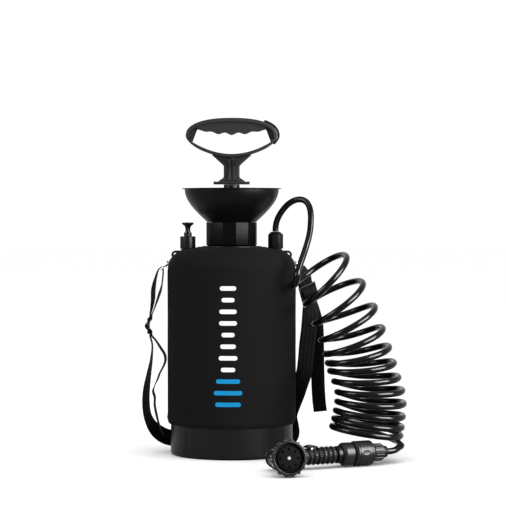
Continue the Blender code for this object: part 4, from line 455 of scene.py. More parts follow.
# %% Finishes
class Finish:
    """One material: a Principled shader and what feeds it."""

    def __init__(self, name, colour, roughness, constants=()):
        self.material = bpy.data.materials.new(name)
        self.material.use_nodes = True
        self.tree = self.material.node_tree
        self.shader = self.tree.nodes["Principled BSDF"]
        self.shader.inputs["Base Color"].default_value = (*colour, 1.0)
        self.shader.inputs["Roughness"].default_value = roughness
        for key, value in dict(constants).items():
            self.shader.inputs[key].default_value = value

    def node(self, kind, settings=None, inputs=None, output=0):
        made = self.tree.nodes.new("ShaderNode" + kind)
        for key, value in (settings or {}).items():
            setattr(made, key, value)
        for key, value in (inputs or {}).items():
            self.feed(made.inputs[key], value)
        return Number(self, made.outputs[output])

    def feed(self, socket, value):
        if isinstance(value, Number):
            self.tree.links.new(value.socket, socket)
        else:
            socket.default_value = value

    def place(self):
        """Object coordinates: the place on the piece, in metres."""
        return self.node("TexCoord", output="Object")

    def map(self):
        """The piece's own flat map, in metres along and across the material."""
        return self.node("UVMap", {"uv_map": "flat"})

    def axis(self, vector, name):
        return self.node("SeparateXYZ", None, {0: vector}, output=name)

    def grain(self, scale, detail=3.0, where=None):
        values = {"Vector": where or self.place(), "Scale": scale, "Detail": detail}
        return self.node("TexNoise", None, values, output="Fac")

    def cells(self, scale):
        values = {"Vector": self.place(), "Scale": scale}
        return self.node("TexVoronoi", None, values, output="Distance")

    def blend(self, share, first, second):
        values = {0: share}
        for slot, colour in ((6, first), (7, second)):
            values[slot] = colour if isinstance(colour, Number) else (*colour, 1.0)
        return self.node("Mix", {"data_type": "RGBA"}, values, output=2)

    def colour(self, value):
        self.feed(self.shader.inputs["Base Color"], value)

    def rough(self, value):
        self.feed(self.shader.inputs["Roughness"], value)

    def relief(self, height, depth):
        """Fine relief: height runs from 0 to 1 and stands for depth metres."""
        bump = {"Distance": depth, "Height": height}
        self.feed(self.shader.inputs["Normal"], self.node("Bump", None, bump, output="Normal"))


print("a Finish has", ", ".join(key for key in vars(Finish) if not key.startswith("__")))


# %% [markdown]
# Moulded black plastic is never one flat black. Its skin carries the fine spark texture of the
# mould, its gloss drifts where the melt flowed and hands have rubbed it, and dust sits in it as a
# faint grey. An image could show that, but it would have to fit each shape; noise in object
# coordinates fits them all. One recipe, with other numbers, gives the satin tank and the
# fittings.


# %% Moulded plastic
GRAIN, GRAIN_DEPTH, DUST, GLOSS = 900.0, 0.06 * MM, 0.5, 0.06


def darker(colour, share):
    return tuple(c * share for c in colour)


def moulded(name, colour, roughness, grain=GRAIN, depth=GRAIN_DEPTH, dust=DUST, gloss=GLOSS):
    finish = Finish(name, colour, roughness, {"Specular IOR Level": gloss})
    spark = finish.cells(grain)
    fine = finish.grain(grain * 1.7, 2.0)
    flow = finish.grain(26.0, 4.0)
    scuff = finish.grain(160.0, 5.0).step(0.58, 0.72) * finish.grain(34.0, 2.0).step(0.45, 0.7)
    dusty = tuple(min(1.0, c * 1.9 + 0.012) for c in colour)
    tinted = finish.blend(scuff * dust, colour, dusty)
    finish.colour(finish.blend(flow.step(0.35, 0.75) * 0.35, tinted, darker(colour, 0.72)))
    finish.rough(roughness + (flow - 0.5) * 0.10 + scuff * 0.12)
    finish.relief(spark * 0.6 + fine * 0.4, depth)
    return finish.material


MOULDED = {
    # name: colour, roughness, grain, its depth, dust, gloss
    "tank_plastic": ((0.0070, 0.0070, 0.0078), 0.36, 700.0, 0.05 * MM),
    "fitting_plastic": ((0.0036, 0.0036, 0.0040), 0.33, 1100.0, 0.04 * MM, DUST, 0.07),
    "handle_plastic": ((0.0110, 0.0110, 0.0118), 0.40, 800.0, 0.08 * MM, DUST, 0.14),
    "collar_plastic": ((0.0036, 0.0036, 0.0040), 0.30, 1200.0, 0.03 * MM, DUST, 0.015),
    "funnel_plastic": ((0.0026, 0.0026, 0.0029), 0.36, 1000.0, 0.04 * MM, DUST, 0.045),
    "satin_plastic": ((0.0040, 0.0040, 0.0044), 0.27, 1200.0, 0.03 * MM, DUST, 0.06),
    "polished_plastic": ((0.004, 0.004, 0.0045), 0.10, 1500.0, 0.01 * MM, DUST, 0.4),
    "pale_plastic": ((0.62, 0.63, 0.60), 0.40, 700.0, 0.03 * MM, 0.1),
    "dial_plastic": ((0.0036, 0.0036, 0.0040), 0.26, 1100.0, 0.03 * MM, DUST, 0.16),
    "glossy_rubber": ((0.004, 0.004, 0.0045), 0.32, 900.0, 0.02 * MM, DUST, 0.22),
    "coupling_plastic": ((0.0125, 0.0125, 0.0130), 0.36, 1000.0, 0.04 * MM, DUST, 0.10),
    # the nozzle plate: darker and duller than the other black plastics, as painted shade for its
    # recess in the dial
    "nozzle_plastic_painted_shade": ((0.0016, 0.0016, 0.0018), 0.50, 1200.0, 0.03 * MM, DUST, 0.02),
    "grey_plastic": ((0.66, 0.66, 0.66), 0.38, 1500.0, 0.02 * MM, 0.1),
    "red_rubber": ((0.30, 0.06, 0.04), 0.6, 600.0, 0.05 * MM, 0.2),
    "black_thread": ((0.008, 0.008, 0.0085), 0.75, 2600.0, 0.03 * MM),
}
for name, recipe in MOULDED.items():
    LOOKS[name] = moulded(name, *recipe)
print("moulded finishes:", len(LOOKS))

# %% [markdown]
# Rubber scatters light: it is rough, a little lighter where it has been handled, and finely
# pored. Plated steel is the opposite, nearly a mirror, with hairline scratches that blur it a
# little. The scratches are the same noise as the rubber's pores, only stretched along Z until it
# turns to hair.


# %% Rubber and steel
def soft_rubber(name, colour, roughness):
    finish = Finish(name, colour, roughness, {"Specular IOR Level": 0.05})
    worn = finish.grain(120.0, 4.0).step(0.5, 0.75)
    handled = tuple(c * 1.8 + 0.003 for c in colour)
    finish.colour(finish.blend(worn * 0.5, colour, handled))
    finish.rough(roughness - worn * 0.14)
    finish.relief(finish.cells(1400.0) * 0.5 + finish.grain(700.0, 3.0) * 0.5, 0.09 * MM)
    return finish.material


def plated(name, colour, roughness):
    finish = Finish(name, colour, roughness, {"Metallic": 1.0})
    stretch = finish.node("Mapping", None, {"Vector": finish.place(), "Scale": (1.0, 1.0, 0.12)})
    hair = finish.grain(2200.0, 3.0, stretch)
    smear = finish.grain(90.0, 3.0)
    finish.colour(finish.blend(smear.step(0.4, 0.8) * 0.4, colour, darker(colour, 0.8)))
    finish.rough(roughness + hair.step(0.5, 0.8) * 0.16 + smear * 0.06)
    finish.relief(hair, 0.01 * MM)
    return finish.material


LOOKS["black_rubber"] = soft_rubber("black_rubber", (0.0035, 0.0035, 0.0036), 0.60)
LOOKS["bright_steel"] = plated("bright_steel", (0.46, 0.46, 0.47), 0.24)
print("finishes so far:", len(LOOKS))

# %% [markdown]
# ## The tank
# The tank is blow-moulded plastic: a straight wall with a rounded base edge, a domed shoulder and
# a thick neck. A ready-made cylinder would need its shoulder modelled on. Here one outline,
# outside and inside, is turned once, so the wall has its real thickness everywhere. All sizes are
# the solid model's own.

# %% Tank sizes
TANK_RADIUS = 94.5 * MM
TANK_WALL = 3.0 * MM
SHOULDER_START_Z = 288.0 * MM
SHOULDER_RISE = 25.0 * MM
SHOULDER_REACH = 30.0 * MM
SHOULDER_CENTRE = TANK_RADIUS - SHOULDER_REACH
NECK_ROOT_Z = 316.5 * MM
NECK_FLANGE_RADIUS = 46.0 * MM
NECK_FLANGE_TOP_Z = 322.0 * MM
NECK_RADIUS = 36.0 * MM
NECK_BORE = 31.0 * MM
NECK_TOP_Z = 356.0 * MM
SLEEVE_HEM_Z = 48.0 * MM
PORT_OFFSET = 68.0 * MM
PORT_TOP_Z = 316.0 * MM
PORT_BORE = 4.6 * MM
LUG_HOLE = (87.0 * MM, 308.4 * MM)
LUG_RIM = 6.6 * MM
BRACKET_ANGLE = 48
BRACKET_LOW_Z = 2.6 * MM
STRAP_ROOM = 2.4 * MM
WEBBING_WIDTH = 25.0 * MM
WEBBING_THICKNESS = 1.4 * MM
BAR = 2.6 * MM
SEAT_GAP = 0.3 * MM
print(f"tank: {2 * TANK_RADIUS:.3f} m across, {NECK_TOP_Z:.3f} m high")

# %% [markdown]
# The shoulder is a quarter of an ellipse, which is how blown bottles turn in towards their neck.
# The same formula gives its outside, its inside and, further out, the sleeve that lies on it.


# %% Tank wall
def shoulder(offset, steps=18):
    """The shoulder's quarter ellipse, outside the tank by the offset."""
    angles = [math.radians(90 * k / steps) for k in range(steps + 1)]
    return [
        (
            SHOULDER_CENTRE + (SHOULDER_REACH + offset) * math.cos(a),
            SHOULDER_START_Z + (SHOULDER_RISE + offset) * math.sin(a),
            0,
        )
        for a in angles
    ]


outside = [(0, 0), (TANK_RADIUS, 0, 4.0 * MM), *shoulder(0), (NECK_FLANGE_RADIUS, NECK_ROOT_Z, MM)]
neck = [
    (NECK_FLANGE_RADIUS, NECK_FLANGE_TOP_Z, 0.8 * MM), (NECK_RADIUS, NECK_FLANGE_TOP_Z, MM),
    (NECK_RADIUS, NECK_TOP_Z, 0.8 * MM), (NECK_BORE, NECK_TOP_Z, 0.8 * MM),
]
inside = [(NECK_BORE, NECK_ROOT_Z - TANK_WALL, MM), *shoulder(-TANK_WALL)[::-1]]
floor_line = [(TANK_RADIUS - TANK_WALL, TANK_WALL, 3 * MM), (0, TANK_WALL)]
wall = turned(rounded([*outside, *neck, *inside, *floor_line], 0, 5), 144)
print("tank wall:", len(wall.polygons), "faces")

# %% [markdown]
# What the turned wall can't have is made apart: a lug with a hole on each side of the shoulder
# for a snap hook, a bridge low on the back for the sewn end of each strap, and the thin upright
# lines between the panels of the base, which are narrow blocks to be cut away.


# %% Lugs, brackets and panel lines
def lug(side):
    hole_x, hole_z = LUG_HOLE
    root_x, low = PORT_OFFSET + 5.5 * MM, 296.0 * MM
    rim = [
        (hole_x + LUG_RIM * math.cos(a), hole_z + LUG_RIM * math.sin(a))
        for a in (math.radians(-60 + 12.5 * k) for k in range(13))
    ]
    outline = [(root_x, low), (hole_x, low), *rim, (root_x, hole_z + LUG_RIM)]
    hole = [(hole_x + x, hole_z + z) for x, z in ring_points(3.1 * MM, 28)]
    mesh = eased(slab(outline, 4.0 * MM, [hole]), 0.7 * MM)
    return mesh if side > 0 else moved(mesh, turn(180, "Z"))


def bracket(degrees):
    """The bridge at the back of the base that holds the strap's sewn end."""
    low, rail = BRACKET_LOW_Z, BAR
    high = low + 2 * rail + WEBBING_WIDTH + 2 * SEAT_GAP
    start = TANK_RADIUS - TANK_WALL / 2
    end = TANK_RADIUS + BAR + WEBBING_THICKNESS + STRAP_ROOM
    frame_line = [(start, low), (end, low), (end, high), (start, high)]
    near, far = TANK_RADIUS + SEAT_GAP, end - BAR
    window = [(near, low + rail), (far, low + rail), (far, high - rail), (near, high - rail)]
    return moved(eased(slab(frame_line, BAR, [window]), 0.5 * MM), turn(degrees, "Z"))


def panel_line(degrees):
    low = 6.0 * MM
    height = SLEEVE_HEM_Z - low - SEAT_GAP
    size = (1.6 * MM, 1.2 * MM, height)
    return moved(block(size, (TANK_RADIUS, 0, low + height / 2)), turn(degrees, "Z"))


def port(side):
    boss = [(0, 300 * MM), (11 * MM, 300 * MM), (11 * MM, PORT_TOP_Z), (0, PORT_TOP_Z)]
    return moved(turned(rounded(boss, 0.8 * MM), 48), shift(side * PORT_OFFSET))


fittings = []
for side in (-1, 1):
    fittings += [port(side), lug(side), bracket(90 + side * BRACKET_ANGLE)]
front_lines = [-9 + s * a for a in (38, 65) for s in (-1, 1)]
panel_lines = [a - 90 for a in front_lines] + [90 - a for a in front_lines]
print("fittings:", len(fittings), "- panel lines:", len(panel_lines))

# %% [markdown]
# One call fuses the fittings to the wall and one cuts the lines and the ports' bores. The
# blocks of the lines are put together first, so the wall is cut once and not eight times.

# %% Tank
bores = [moved(rod(PORT_BORE, 288 * MM, 320 * MM, 24), shift(s * PORT_OFFSET)) for s in (-1, 1)]
tank_mesh = joined(wall, *fittings)
tank_mesh = cut(tank_mesh, together(*[panel_line(a) for a in panel_lines]), together(*bores))
tank = piece("tank", tank_mesh, "tank_plastic", ["tank_shell"])
print("tank:", len(tank.data.polygons), "faces")

# %% [markdown]
# ## The sleeve
# The sleeve is a jacket of neoprene foam faced with black knitted jersey, pulled over the tank.
# It could be cloth shrunk on to the tank by simulation, but neoprene is so stiff and tight that
# it keeps the tank's form. So it is turned like the tank, a few millimetres outside it. A flat
# map in real metres is written on it, so that the knit follows the cloth round the shoulder.

# %% Flat map of the sleeve
SLEEVE_THICKNESS = 4.7 * MM
SLEEVE_OUTER = TANK_RADIUS + SEAT_GAP + SLEEVE_THICKNESS
NEAR_BACK_SEAM = 20.0 * MM


def flat_map(mesh, at):
    """Writes the flat map: at(point) gives (along, across) in metres."""
    layer = mesh.uv_layers.new(name="flat")
    for face in mesh.polygons:
        places = [at(mesh.vertices[v].co, face) for v in face.vertices]
        for loop, place in zip(face.loop_indices, places):
            layer.data[loop].uv = place
    return mesh


def round_the_axis(co, face):
    """Unrolls a turned piece; a face that crosses the back seam keeps its corners together."""
    angle = math.atan2(co.x, -co.y)
    behind = abs(face.center.x) < NEAR_BACK_SEAM and face.center.y > 0
    if behind and angle * face.center.x < 0:
        angle += math.copysign(2 * math.pi, face.center.x)
    radius = math.hypot(co.x, co.y)
    return angle * TANK_RADIUS, co.z + max(0.0, TANK_RADIUS - radius)


print(f"sleeve: {2 * SLEEVE_OUTER:.3f} m across")

# %% [markdown]
# The outline goes up the outside, over the shoulder and back down inside it. It swells a little
# just above the hem, where the foam rides up. Long stretches get levels in between, so that the
# wall has points enough to be uneven.

# %% Sleeve outline
LEVEL_STEP = 9.0 * MM
gap = SEAT_GAP
rim = NECK_FLANGE_RADIUS + 1.5 * MM
hem_outside = [
    (TANK_RADIUS + gap, SLEEVE_HEM_Z, 0.6 * MM), (SLEEVE_OUTER - 1.9 * MM, SLEEVE_HEM_Z, 1.2 * MM),
    (SLEEVE_OUTER - 0.4 * MM, SLEEVE_HEM_Z + 4.5 * MM, 2 * MM),
    (SLEEVE_OUTER + 0.5 * MM, SLEEVE_HEM_Z + 9 * MM, 4 * MM),
    (SLEEVE_OUTER - 0.2 * MM, SLEEVE_HEM_Z + 16 * MM, 8 * MM),
    (SLEEVE_OUTER, 90 * MM, 10 * MM), (SLEEVE_OUTER - 0.2 * MM, 190 * MM, 20 * MM),
    (SLEEVE_OUTER + 0.1 * MM, 262 * MM, 12 * MM),
]
over = shoulder(gap + SLEEVE_THICKNESS)
rim_line = [(rim, NECK_ROOT_Z + SLEEVE_THICKNESS, 1.6 * MM), (rim, NECK_ROOT_Z + 2 * gap, 0.6 * MM)]
profile = rounded([*hem_outside, *over, *rim_line, *shoulder(gap)[::-1]], 0, 5)
levels = []
for k, (r, z) in enumerate(profile):
    levels.append((r, z))
    next_r, next_z = profile[(k + 1) % len(profile)]
    steps = int(math.hypot(next_r - r, next_z - z) / LEVEL_STEP)
    for i in range(1, steps):
        share = i / steps
        levels.append((r + (next_r - r) * share, z + (next_z - z) * share))
jacket = turned(levels, 144)
print("outline:", len(profile), "points, with levels between them", len(levels))

# %% [markdown]
# Foam is never quite even. Slow noise swells the wall by half a millimetre, and a quicker ripple
# grows towards the hem, where the foam rides up. Then one slot on each side is cut for the ports.

# %% Sleeve cloth
SLOT_HALF = 14.0 * MM
SLOT_START = 54.0 * MM + SLOT_HALF
RIPPLE_TOP_Z = 285.0 * MM
RIPPLE_HEIGHT = 26.0 * MM


def slot_nose(half, steps=24):
    """The round inner end of a port's slot, from +Y to -Y."""
    angles = [math.radians(90 - 180 * k / steps) for k in range(steps + 1)]
    return [(SLOT_START - half * math.cos(a), half * math.sin(a)) for a in angles]


for vert in jacket.vertices:
    radius = math.hypot(vert.co.x, vert.co.y)
    if radius > TANK_RADIUS + 2 * MM and vert.co.z < RIPPLE_TOP_Z:
        soft = noise.noise(vert.co * 14.0) * 0.5 * MM + noise.noise(vert.co * 45.0) * 0.15 * MM
        near_hem = max(0.0, 1 - (vert.co.z - SLEEVE_HEM_Z) / RIPPLE_HEIGHT)
        ripple = noise.noise(Vector((vert.co.x * 30, vert.co.y * 30, 3))) * 0.9 * MM * near_hem
        grow = 1 + (soft + ripple) / radius
        vert.co.x *= grow
        vert.co.y *= grow
plan = [*slot_nose(SLOT_HALF), (200 * MM, -SLOT_HALF), (200 * MM, SLOT_HALF)]
slot_tool = moved(slab(plan, 60 * MM), shift(z=315 * MM) @ turn(-90, "X"))
other_slot = moved(slot_tool.copy(), turn(180, "Z"))
sleeve_mesh = flat_map(cut(jacket, slot_tool, other_slot), round_the_axis)
print("sleeve:", len(sleeve_mesh.polygons), "faces")

# %% [markdown]
# The jersey face is a field of tiny knitted loops that lean left and right in turn. Modelled
# loops would be millions of faces, so two crossed waves in the flat map give the loops as relief,
# and noise makes them uneven and lifts a few fibres.


# %% Knitted jersey
WALE, COURSE = 1.5 * MM, 1.1 * MM


def jersey(finish, flat):
    """The knit's relief, its lifted fibres and its lint, each from 0 to 1."""
    along, across = finish.axis(flat, "X"), finish.axis(flat, "Y")
    wale = (along * (2 * math.pi / WALE)).sine()
    course = (across * (2 * math.pi / COURSE) + wale * 1.2).sine()
    uneven = finish.grain(420.0, 3.0, flat)
    knit = wale * course * 0.3 + uneven * 0.5 + 0.3
    fibre = finish.grain(2600.0, 2.0, flat).step(0.62, 0.78)
    lint = finish.grain(300.0, 4.0, flat).step(0.66, 0.78)
    return knit, fibre, lint


print(f"one loop of the knit: {WALE / MM} x {COURSE / MM} mm")

# %% [markdown]
# On the front a plain column of short bars, white above and blue below, is printed as a smooth
# film that fills the knit. Each bar is a distance: a point nearer than the bar's half thickness
# to its middle line is inked. The row's number sets the bar's length, so no two in a row are
# alike. A seam round the shoulder and one up the back are pressed into the foam in the same way.

# %% Printed bars and seams
SHOULDER_SEAM_Z = 299.0 * MM
PRINT_X = 4.5 * MM
PRINT_LOW_Z = 76.0 * MM
PRINT_PITCH = 17.5 * MM
PRINT_BARS = 11
BLUE_BARS = 3
BAR_HALF = 3.3 * MM
BAR_EDGE = 0.25 * MM


def printed_bars(finish, flat, x, y, z):
    """Where the ink lies, and where it is blue."""
    row = (z - PRINT_LOW_Z) / PRINT_PITCH
    index = row.floor()
    height = abs(row - index - 0.5) * PRINT_PITCH
    blue = 1 - index.step(BLUE_BARS - 0.6, BLUE_BARS - 0.4)
    length = ((index * 1.9).sine() * 2.2 + 8.6) * MM + blue * (7.5 * MM)
    end = (abs(x + PRINT_X) - length).most(0.0)
    distance = (end * end + height * height).root()
    inside = 1 - distance.step(BAR_HALF - BAR_EDGE, BAR_HALF + BAR_EDGE)
    rows = row.step(-0.01, 0.01) * (1 - row.step(PRINT_BARS - 0.01, PRINT_BARS + 0.01))
    front = 1 - y.step(-0.03, -0.02)
    pinholes = finish.grain(1500.0, 2.0, flat).step(0.22, 0.32)
    return inside * rows * front * (pinholes * 0.25 + 0.75), blue


def pressed_seams(x, y, z):
    round_shoulder = 1 - abs(z - SHOULDER_SEAM_Z).step(0.3 * MM, 1.3 * MM)
    up_the_back = (1 - abs(x).step(0.3 * MM, 1.2 * MM)) * y.step(0.0, 0.01)
    return round_shoulder.most(up_the_back)


print("print:", PRINT_BARS, "bars,", BLUE_BARS, "of them blue")

# %% [markdown]
# Now the cloth is put together: colour from fibres, lint and ink, relief from knit, ink and
# seams. Where the film of ink lies the knit is filled, so its relief fades and its gloss grows.


# %% Neoprene
def neoprene():
    black = (0.0035, 0.0035, 0.0038)
    finish = Finish("neoprene", black, 0.86, {"Specular IOR Level": 0.03})
    flat, place = finish.map(), finish.place()
    x, y, z = (finish.axis(place, name) for name in "XYZ")
    knit, fibre, lint = jersey(finish, flat)
    ink, blue = printed_bars(finish, flat, x, y, z)
    cloth = finish.blend(fibre * 0.35 + lint * 0.25, black, (0.017, 0.017, 0.018))
    ink_colour = finish.blend(blue, (0.88, 0.88, 0.87), (0.006, 0.24, 0.52))
    finish.colour(finish.blend(ink, cloth, ink_colour))
    finish.rough(0.86 - ink * 0.34 - lint * 0.05)
    raised = knit * (1 - ink * 0.7) + fibre * 0.3 + ink * 0.35
    finish.relief(raised - pressed_seams(x, y, z) * 2.0, 0.22 * MM)
    return finish.material


LOOKS["neoprene"] = neoprene()
print("neoprene:", len(LOOKS["neoprene"].node_tree.nodes), "nodes")

# %% [markdown]
# ## Funnel and collar
# The funnel is a thin bowl that swells like a tulip and turns out into a flat lip. Its side could
# be drawn by eye as a curve; a quarter of a sine wave gives the same swell from two radii.

# %% Funnel
FUNNEL_WALL = 2.0 * MM
FUNNEL_FLOOR_Z = 359.1 * MM
FUNNEL_TOP_Z = 410.2 * MM
FUNNEL_FOOT = 38.0 * MM
FUNNEL_MOUTH = 73.0 * MM


def bowl(inset, steps=24):
    """The bowl's side: its radius swells as a sine while it rises evenly."""
    low = FUNNEL_FLOOR_Z + inset
    return [
        (
            FUNNEL_FOOT - inset + (FUNNEL_MOUTH - FUNNEL_FOOT) * math.sin(math.pi / 2 * k / steps),
            low + (FUNNEL_TOP_Z - low) * k / steps,
            0,
        )
        for k in range(steps)
    ]


lip, lip_top = FUNNEL_MOUTH + 4.0 * MM, FUNNEL_TOP_Z + 1.3 * MM
throat = NECK_BORE + 0.5 * MM
funnel_line = [
    (throat, FUNNEL_FLOOR_Z), *bowl(0.0),
    (FUNNEL_MOUTH, FUNNEL_TOP_Z, 0.8 * MM), (lip, FUNNEL_TOP_Z, 0.5 * MM), (lip, lip_top, 0.5 * MM),
    (FUNNEL_MOUTH - FUNNEL_WALL, lip_top, 1.2 * MM), *bowl(FUNNEL_WALL)[::-1],
    (throat, FUNNEL_FLOOR_Z + FUNNEL_WALL),
]
funnel_mesh = turned(rounded(funnel_line, 0.3 * MM, 4), 144)
funnel = piece("funnel", funnel_mesh, "funnel_plastic", ["filling_funnel"])
print("funnel:", len(funnel.data.polygons), "faces")

# %% [markdown]
# The collar is a chunky ring of flats that a hand can grip. It is turned like the rest, but with
# twelve sides, and only then bored, so that its hole stays round.

# %% Collar
COLLAR_RADIUS = 39.8 * MM
COLLAR_TOP_Z = 358.8 * MM
COLLAR_CHAMFER = 1.6 * MM
collar_low = NECK_FLANGE_TOP_Z + SEAT_GAP
ring_line = [
    (0, collar_low), (COLLAR_RADIUS - COLLAR_CHAMFER, collar_low),
    (COLLAR_RADIUS, collar_low + COLLAR_CHAMFER), (COLLAR_RADIUS, COLLAR_TOP_Z), (0, COLLAR_TOP_Z),
]
collar_mesh = turned(ring_line, 12, math.radians(10))
collar_mesh = cut(collar_mesh, rod(NECK_RADIUS + SEAT_GAP, collar_low - MM, COLLAR_TOP_Z + MM, 96))
collar_mesh = eased(collar_mesh, 0.55 * MM, 12)
collar = piece("collar_ring", collar_mesh, "collar_plastic", ["neck_collar"], 30)
print("collar:", len(collar.data.polygons), "faces")

# %% [markdown]
# ## The pump's cap
# A flange seals the neck, a hub with twelve soft lobes gives the fingers a hold, and a tall guide
# steers the rod. Flange and guide are turned. The lobes are one wave round a circle, cut as a
# flat slab and laid down, which is quicker than twelve bumps fused on one by one.

# %% Pump cap
PUMP_FLANGE_Z = 363.7 * MM
PUMP_HUB_TOP_Z = 381.0 * MM
PUMP_GUIDE_TOP_Z = 417.0 * MM
GUIDE_RADIUS = 12.4 * MM
GUIDE_BORE = 9.2 * MM
LOBES, LOBE_RADIUS, LOBE_RISE = 12, 29.0 * MM, 1.4 * MM
flange_top = PUMP_FLANGE_Z + 3.0 * MM
plug, seat = NECK_BORE - 0.5 * MM, 22.3 * MM
cap_line = [
    (seat, 333 * MM), (plug, 333 * MM, 0.8 * MM), (plug, PUMP_FLANGE_Z),
    (35.5 * MM, PUMP_FLANGE_Z, 0.6 * MM), (35.5 * MM, flange_top, 0.8 * MM),
    (GUIDE_RADIUS + 4 * MM, flange_top), (GUIDE_RADIUS + 3 * MM, PUMP_HUB_TOP_Z, MM),
    (GUIDE_RADIUS, PUMP_HUB_TOP_Z + 6 * MM, 3 * MM), (GUIDE_RADIUS, PUMP_GUIDE_TOP_Z, 0.8 * MM),
    (GUIDE_BORE, PUMP_GUIDE_TOP_Z, 0.6 * MM), (GUIDE_BORE, 356.3 * MM), (seat, 352.3 * MM),
]
lobes = []
for a in (2 * math.pi * k / 144 for k in range(144)):
    r = LOBE_RADIUS + LOBE_RISE * math.cos(LOBES * a)
    lobes.append((r * math.cos(a), r * math.sin(a)))
hub_height = PUMP_HUB_TOP_Z - flange_top
hub = slab(lobes, hub_height + MM, [ring_points(GUIDE_RADIUS + MM, 48)])
hub = moved(hub, shift(z=flange_top + hub_height / 2 - MM / 2) @ turn(-90, "X"))
cap_mesh = joined(turned(rounded(cap_line, 0, 4), 96), eased(hub, 1.2 * MM, 50, 4))
pump_cap = piece("cap", cap_mesh, "funnel_plastic", ["pump_cap"])
print("cap:", len(pump_cap.data.polygons), "faces")

# %% [markdown]
# ## The handle
# The handle is a flat eye: a rim runs round it, inside the rim a thinner web lies deeper, and the
# grip's underside has five scallops for the fingers. It could be drawn point by point; a squared
# ellipse, fuller above than below, draws the whole outline from five numbers.

# %% Handle outline
HANDLE_Z = 492.0 * MM
EYE_HALF, EYE_RISE, EYE_DROP = 71.0 * MM, 28.0 * MM, 33.0 * MM
FULL_ABOVE, FULL_BELOW = 2.35, 1.68
OPENING_HALF = (60.6 * MM, 53.2 * MM)
OPENING_Z = (464.4 * MM, 482.8 * MM, 502.3 * MM)
SCALLOPS, SCALLOP_RISE = 5, 3.5 * MM


def eye_line(grow=0.0, steps=40):
    points = []
    for a in (math.pi / 2 * k / steps for k in range(4 * steps)):
        above = math.sin(a) >= 0
        power = 2 / (FULL_ABOVE if above else FULL_BELOW)
        rise = (EYE_RISE if above else EYE_DROP) + grow
        x = (EYE_HALF + grow) * math.copysign(abs(math.cos(a)) ** power, math.cos(a))
        z = rise * math.copysign(abs(math.sin(a)) ** power, math.sin(a))
        points.append((x, HANDLE_Z + z))
    return points


def opening_line():
    low_half, top_half = OPENING_HALF
    low_z, side_z, top_z = OPENING_Z
    top, low = [], []
    for x in np.linspace(-top_half, top_half, 101):
        part = x / top_half
        arch = 1 - part**2
        scallop = SCALLOP_RISE * arch * (1 + math.cos(SCALLOPS * math.pi * part)) / 2
        top.append((float(x), top_z - 5.0 * MM * arch - scallop))
    for x in np.linspace(low_half, -low_half, 61):
        low.append((float(x), low_z + (side_z - low_z) * (x / low_half) ** 2))
    return [*top, *low]


print("outline:", len(eye_line()), "points; opening:", len(opening_line()))

# %% [markdown]
# The loop is cut from a thick slab and its edges are eased. Then shallow pockets on both faces
# leave the rim proud of the web, and a much deeper one at each end thins the web there. A Bevel
# needs room at every point, so the outline's points are spread evenly first.


# %% Loop and pockets
DEPTH, WEB, RIM, END_RIM = 24.0 * MM, 15.0 * MM, 5.5 * MM, 6.2 * MM
END_WEB, END_DEPTH = 4.0 * MM, 9.5 * MM


def even(points, step):
    """The closed line with its points spread evenly, so that easing has room at each."""
    points = np.array([*points, points[0]])
    at = np.concatenate([[0], np.cumsum(np.linalg.norm(np.diff(points, axis=0), axis=1))])
    where = np.linspace(0, at[-1], int(at[-1] / step), endpoint=False)
    return [tuple(float(np.interp(w, at, points[:, i])) for i in (0, 1)) for w in where]


def both_faces(shape, web, depth):
    """Two tools that leave a web between the pockets that they cut."""
    return [moved(slab(shape, 2 * depth), shift(y=s * (web / 2 + depth))) for s in (-1, 1)]


loop_mesh = slab(even(eye_line(), 1.6 * MM), DEPTH, [opening_line()])
loop_mesh = eased(loop_mesh, 2.0 * MM, 60, 4)
pocket_low = OPENING_Z[1] + 4 * MM
pocket = sorted([p for p in eye_line(-RIM) if p[1] > pocket_low], key=lambda p: -p[0])
pocket = [(pocket[0][0], pocket_low), *pocket, (-pocket[0][0], pocket_low)]
end_low = OPENING_Z[1] + 2 * MM
end_line = [p for p in eye_line(-END_RIM) if p[0] > 54.0 * MM and p[1] > end_low]
end_line = [(59.6 * MM, end_low), *sorted(end_line, key=lambda p: p[1]), (53.0 * MM, OPENING_Z[2])]
pockets = both_faces(pocket, WEB, (DEPTH - WEB) / 2)
for side in (-1, 1):
    pockets += both_faces([(side * x, z) for x, z in end_line[::side]], END_WEB, END_DEPTH)
loop_mesh = fused(loop_mesh, pockets, "DIFFERENCE", "MANIFOLD")
print("loop:", len(loop_mesh.polygons), "faces,", len(pockets), "pockets")

# %% [markdown]
# Down the stem a thin blade and a core cross each other, with two tall ribs with waists beside
# the core, and two ears at the foot stop on the guide. Each is a slab cut from its own side view;
# a rib is where two slabs meet, one seen from the front and one from the side.

# %% Stem
EAR_LOW_Z, NECK_LOW_Z, ARM_Z = 417.3 * MM, 422.3 * MM, HANDLE_Z - EYE_DROP
BLADE_HALF = 12.4 * MM
RIB_WAIST = 3.0 * MM
blade = mirrored([
    (BLADE_HALF, EAR_LOW_Z), (BLADE_HALF + 1.5 * MM, NECK_LOW_Z + 3 * MM),
    (BLADE_HALF, NECK_LOW_Z + 8 * MM), (BLADE_HALF, ARM_Z - 13 * MM),
    (BLADE_HALF + 4 * MM, ARM_Z - 9 * MM), (31 * MM, ARM_Z + 4 * MM), (27 * MM, ARM_Z + 5 * MM),
    (0, ARM_Z + 3 * MM),
])
fin = mirrored([
    (10.5 * MM, EAR_LOW_Z), (10.5 * MM, NECK_LOW_Z), (6.5 * MM, NECK_LOW_Z + 6 * MM),
    (6 * MM, ARM_Z - 14 * MM), (10.5 * MM, ARM_Z - 4 * MM), (10.5 * MM, ARM_Z + 3 * MM),
])
ears = mirrored([
    (28 * MM, EAR_LOW_Z), (28 * MM, NECK_LOW_Z), (22 * MM, NECK_LOW_Z - MM),
    (BLADE_HALF + 2 * MM, NECK_LOW_Z + 4.5 * MM), (0, NECK_LOW_Z + 4.5 * MM),
])
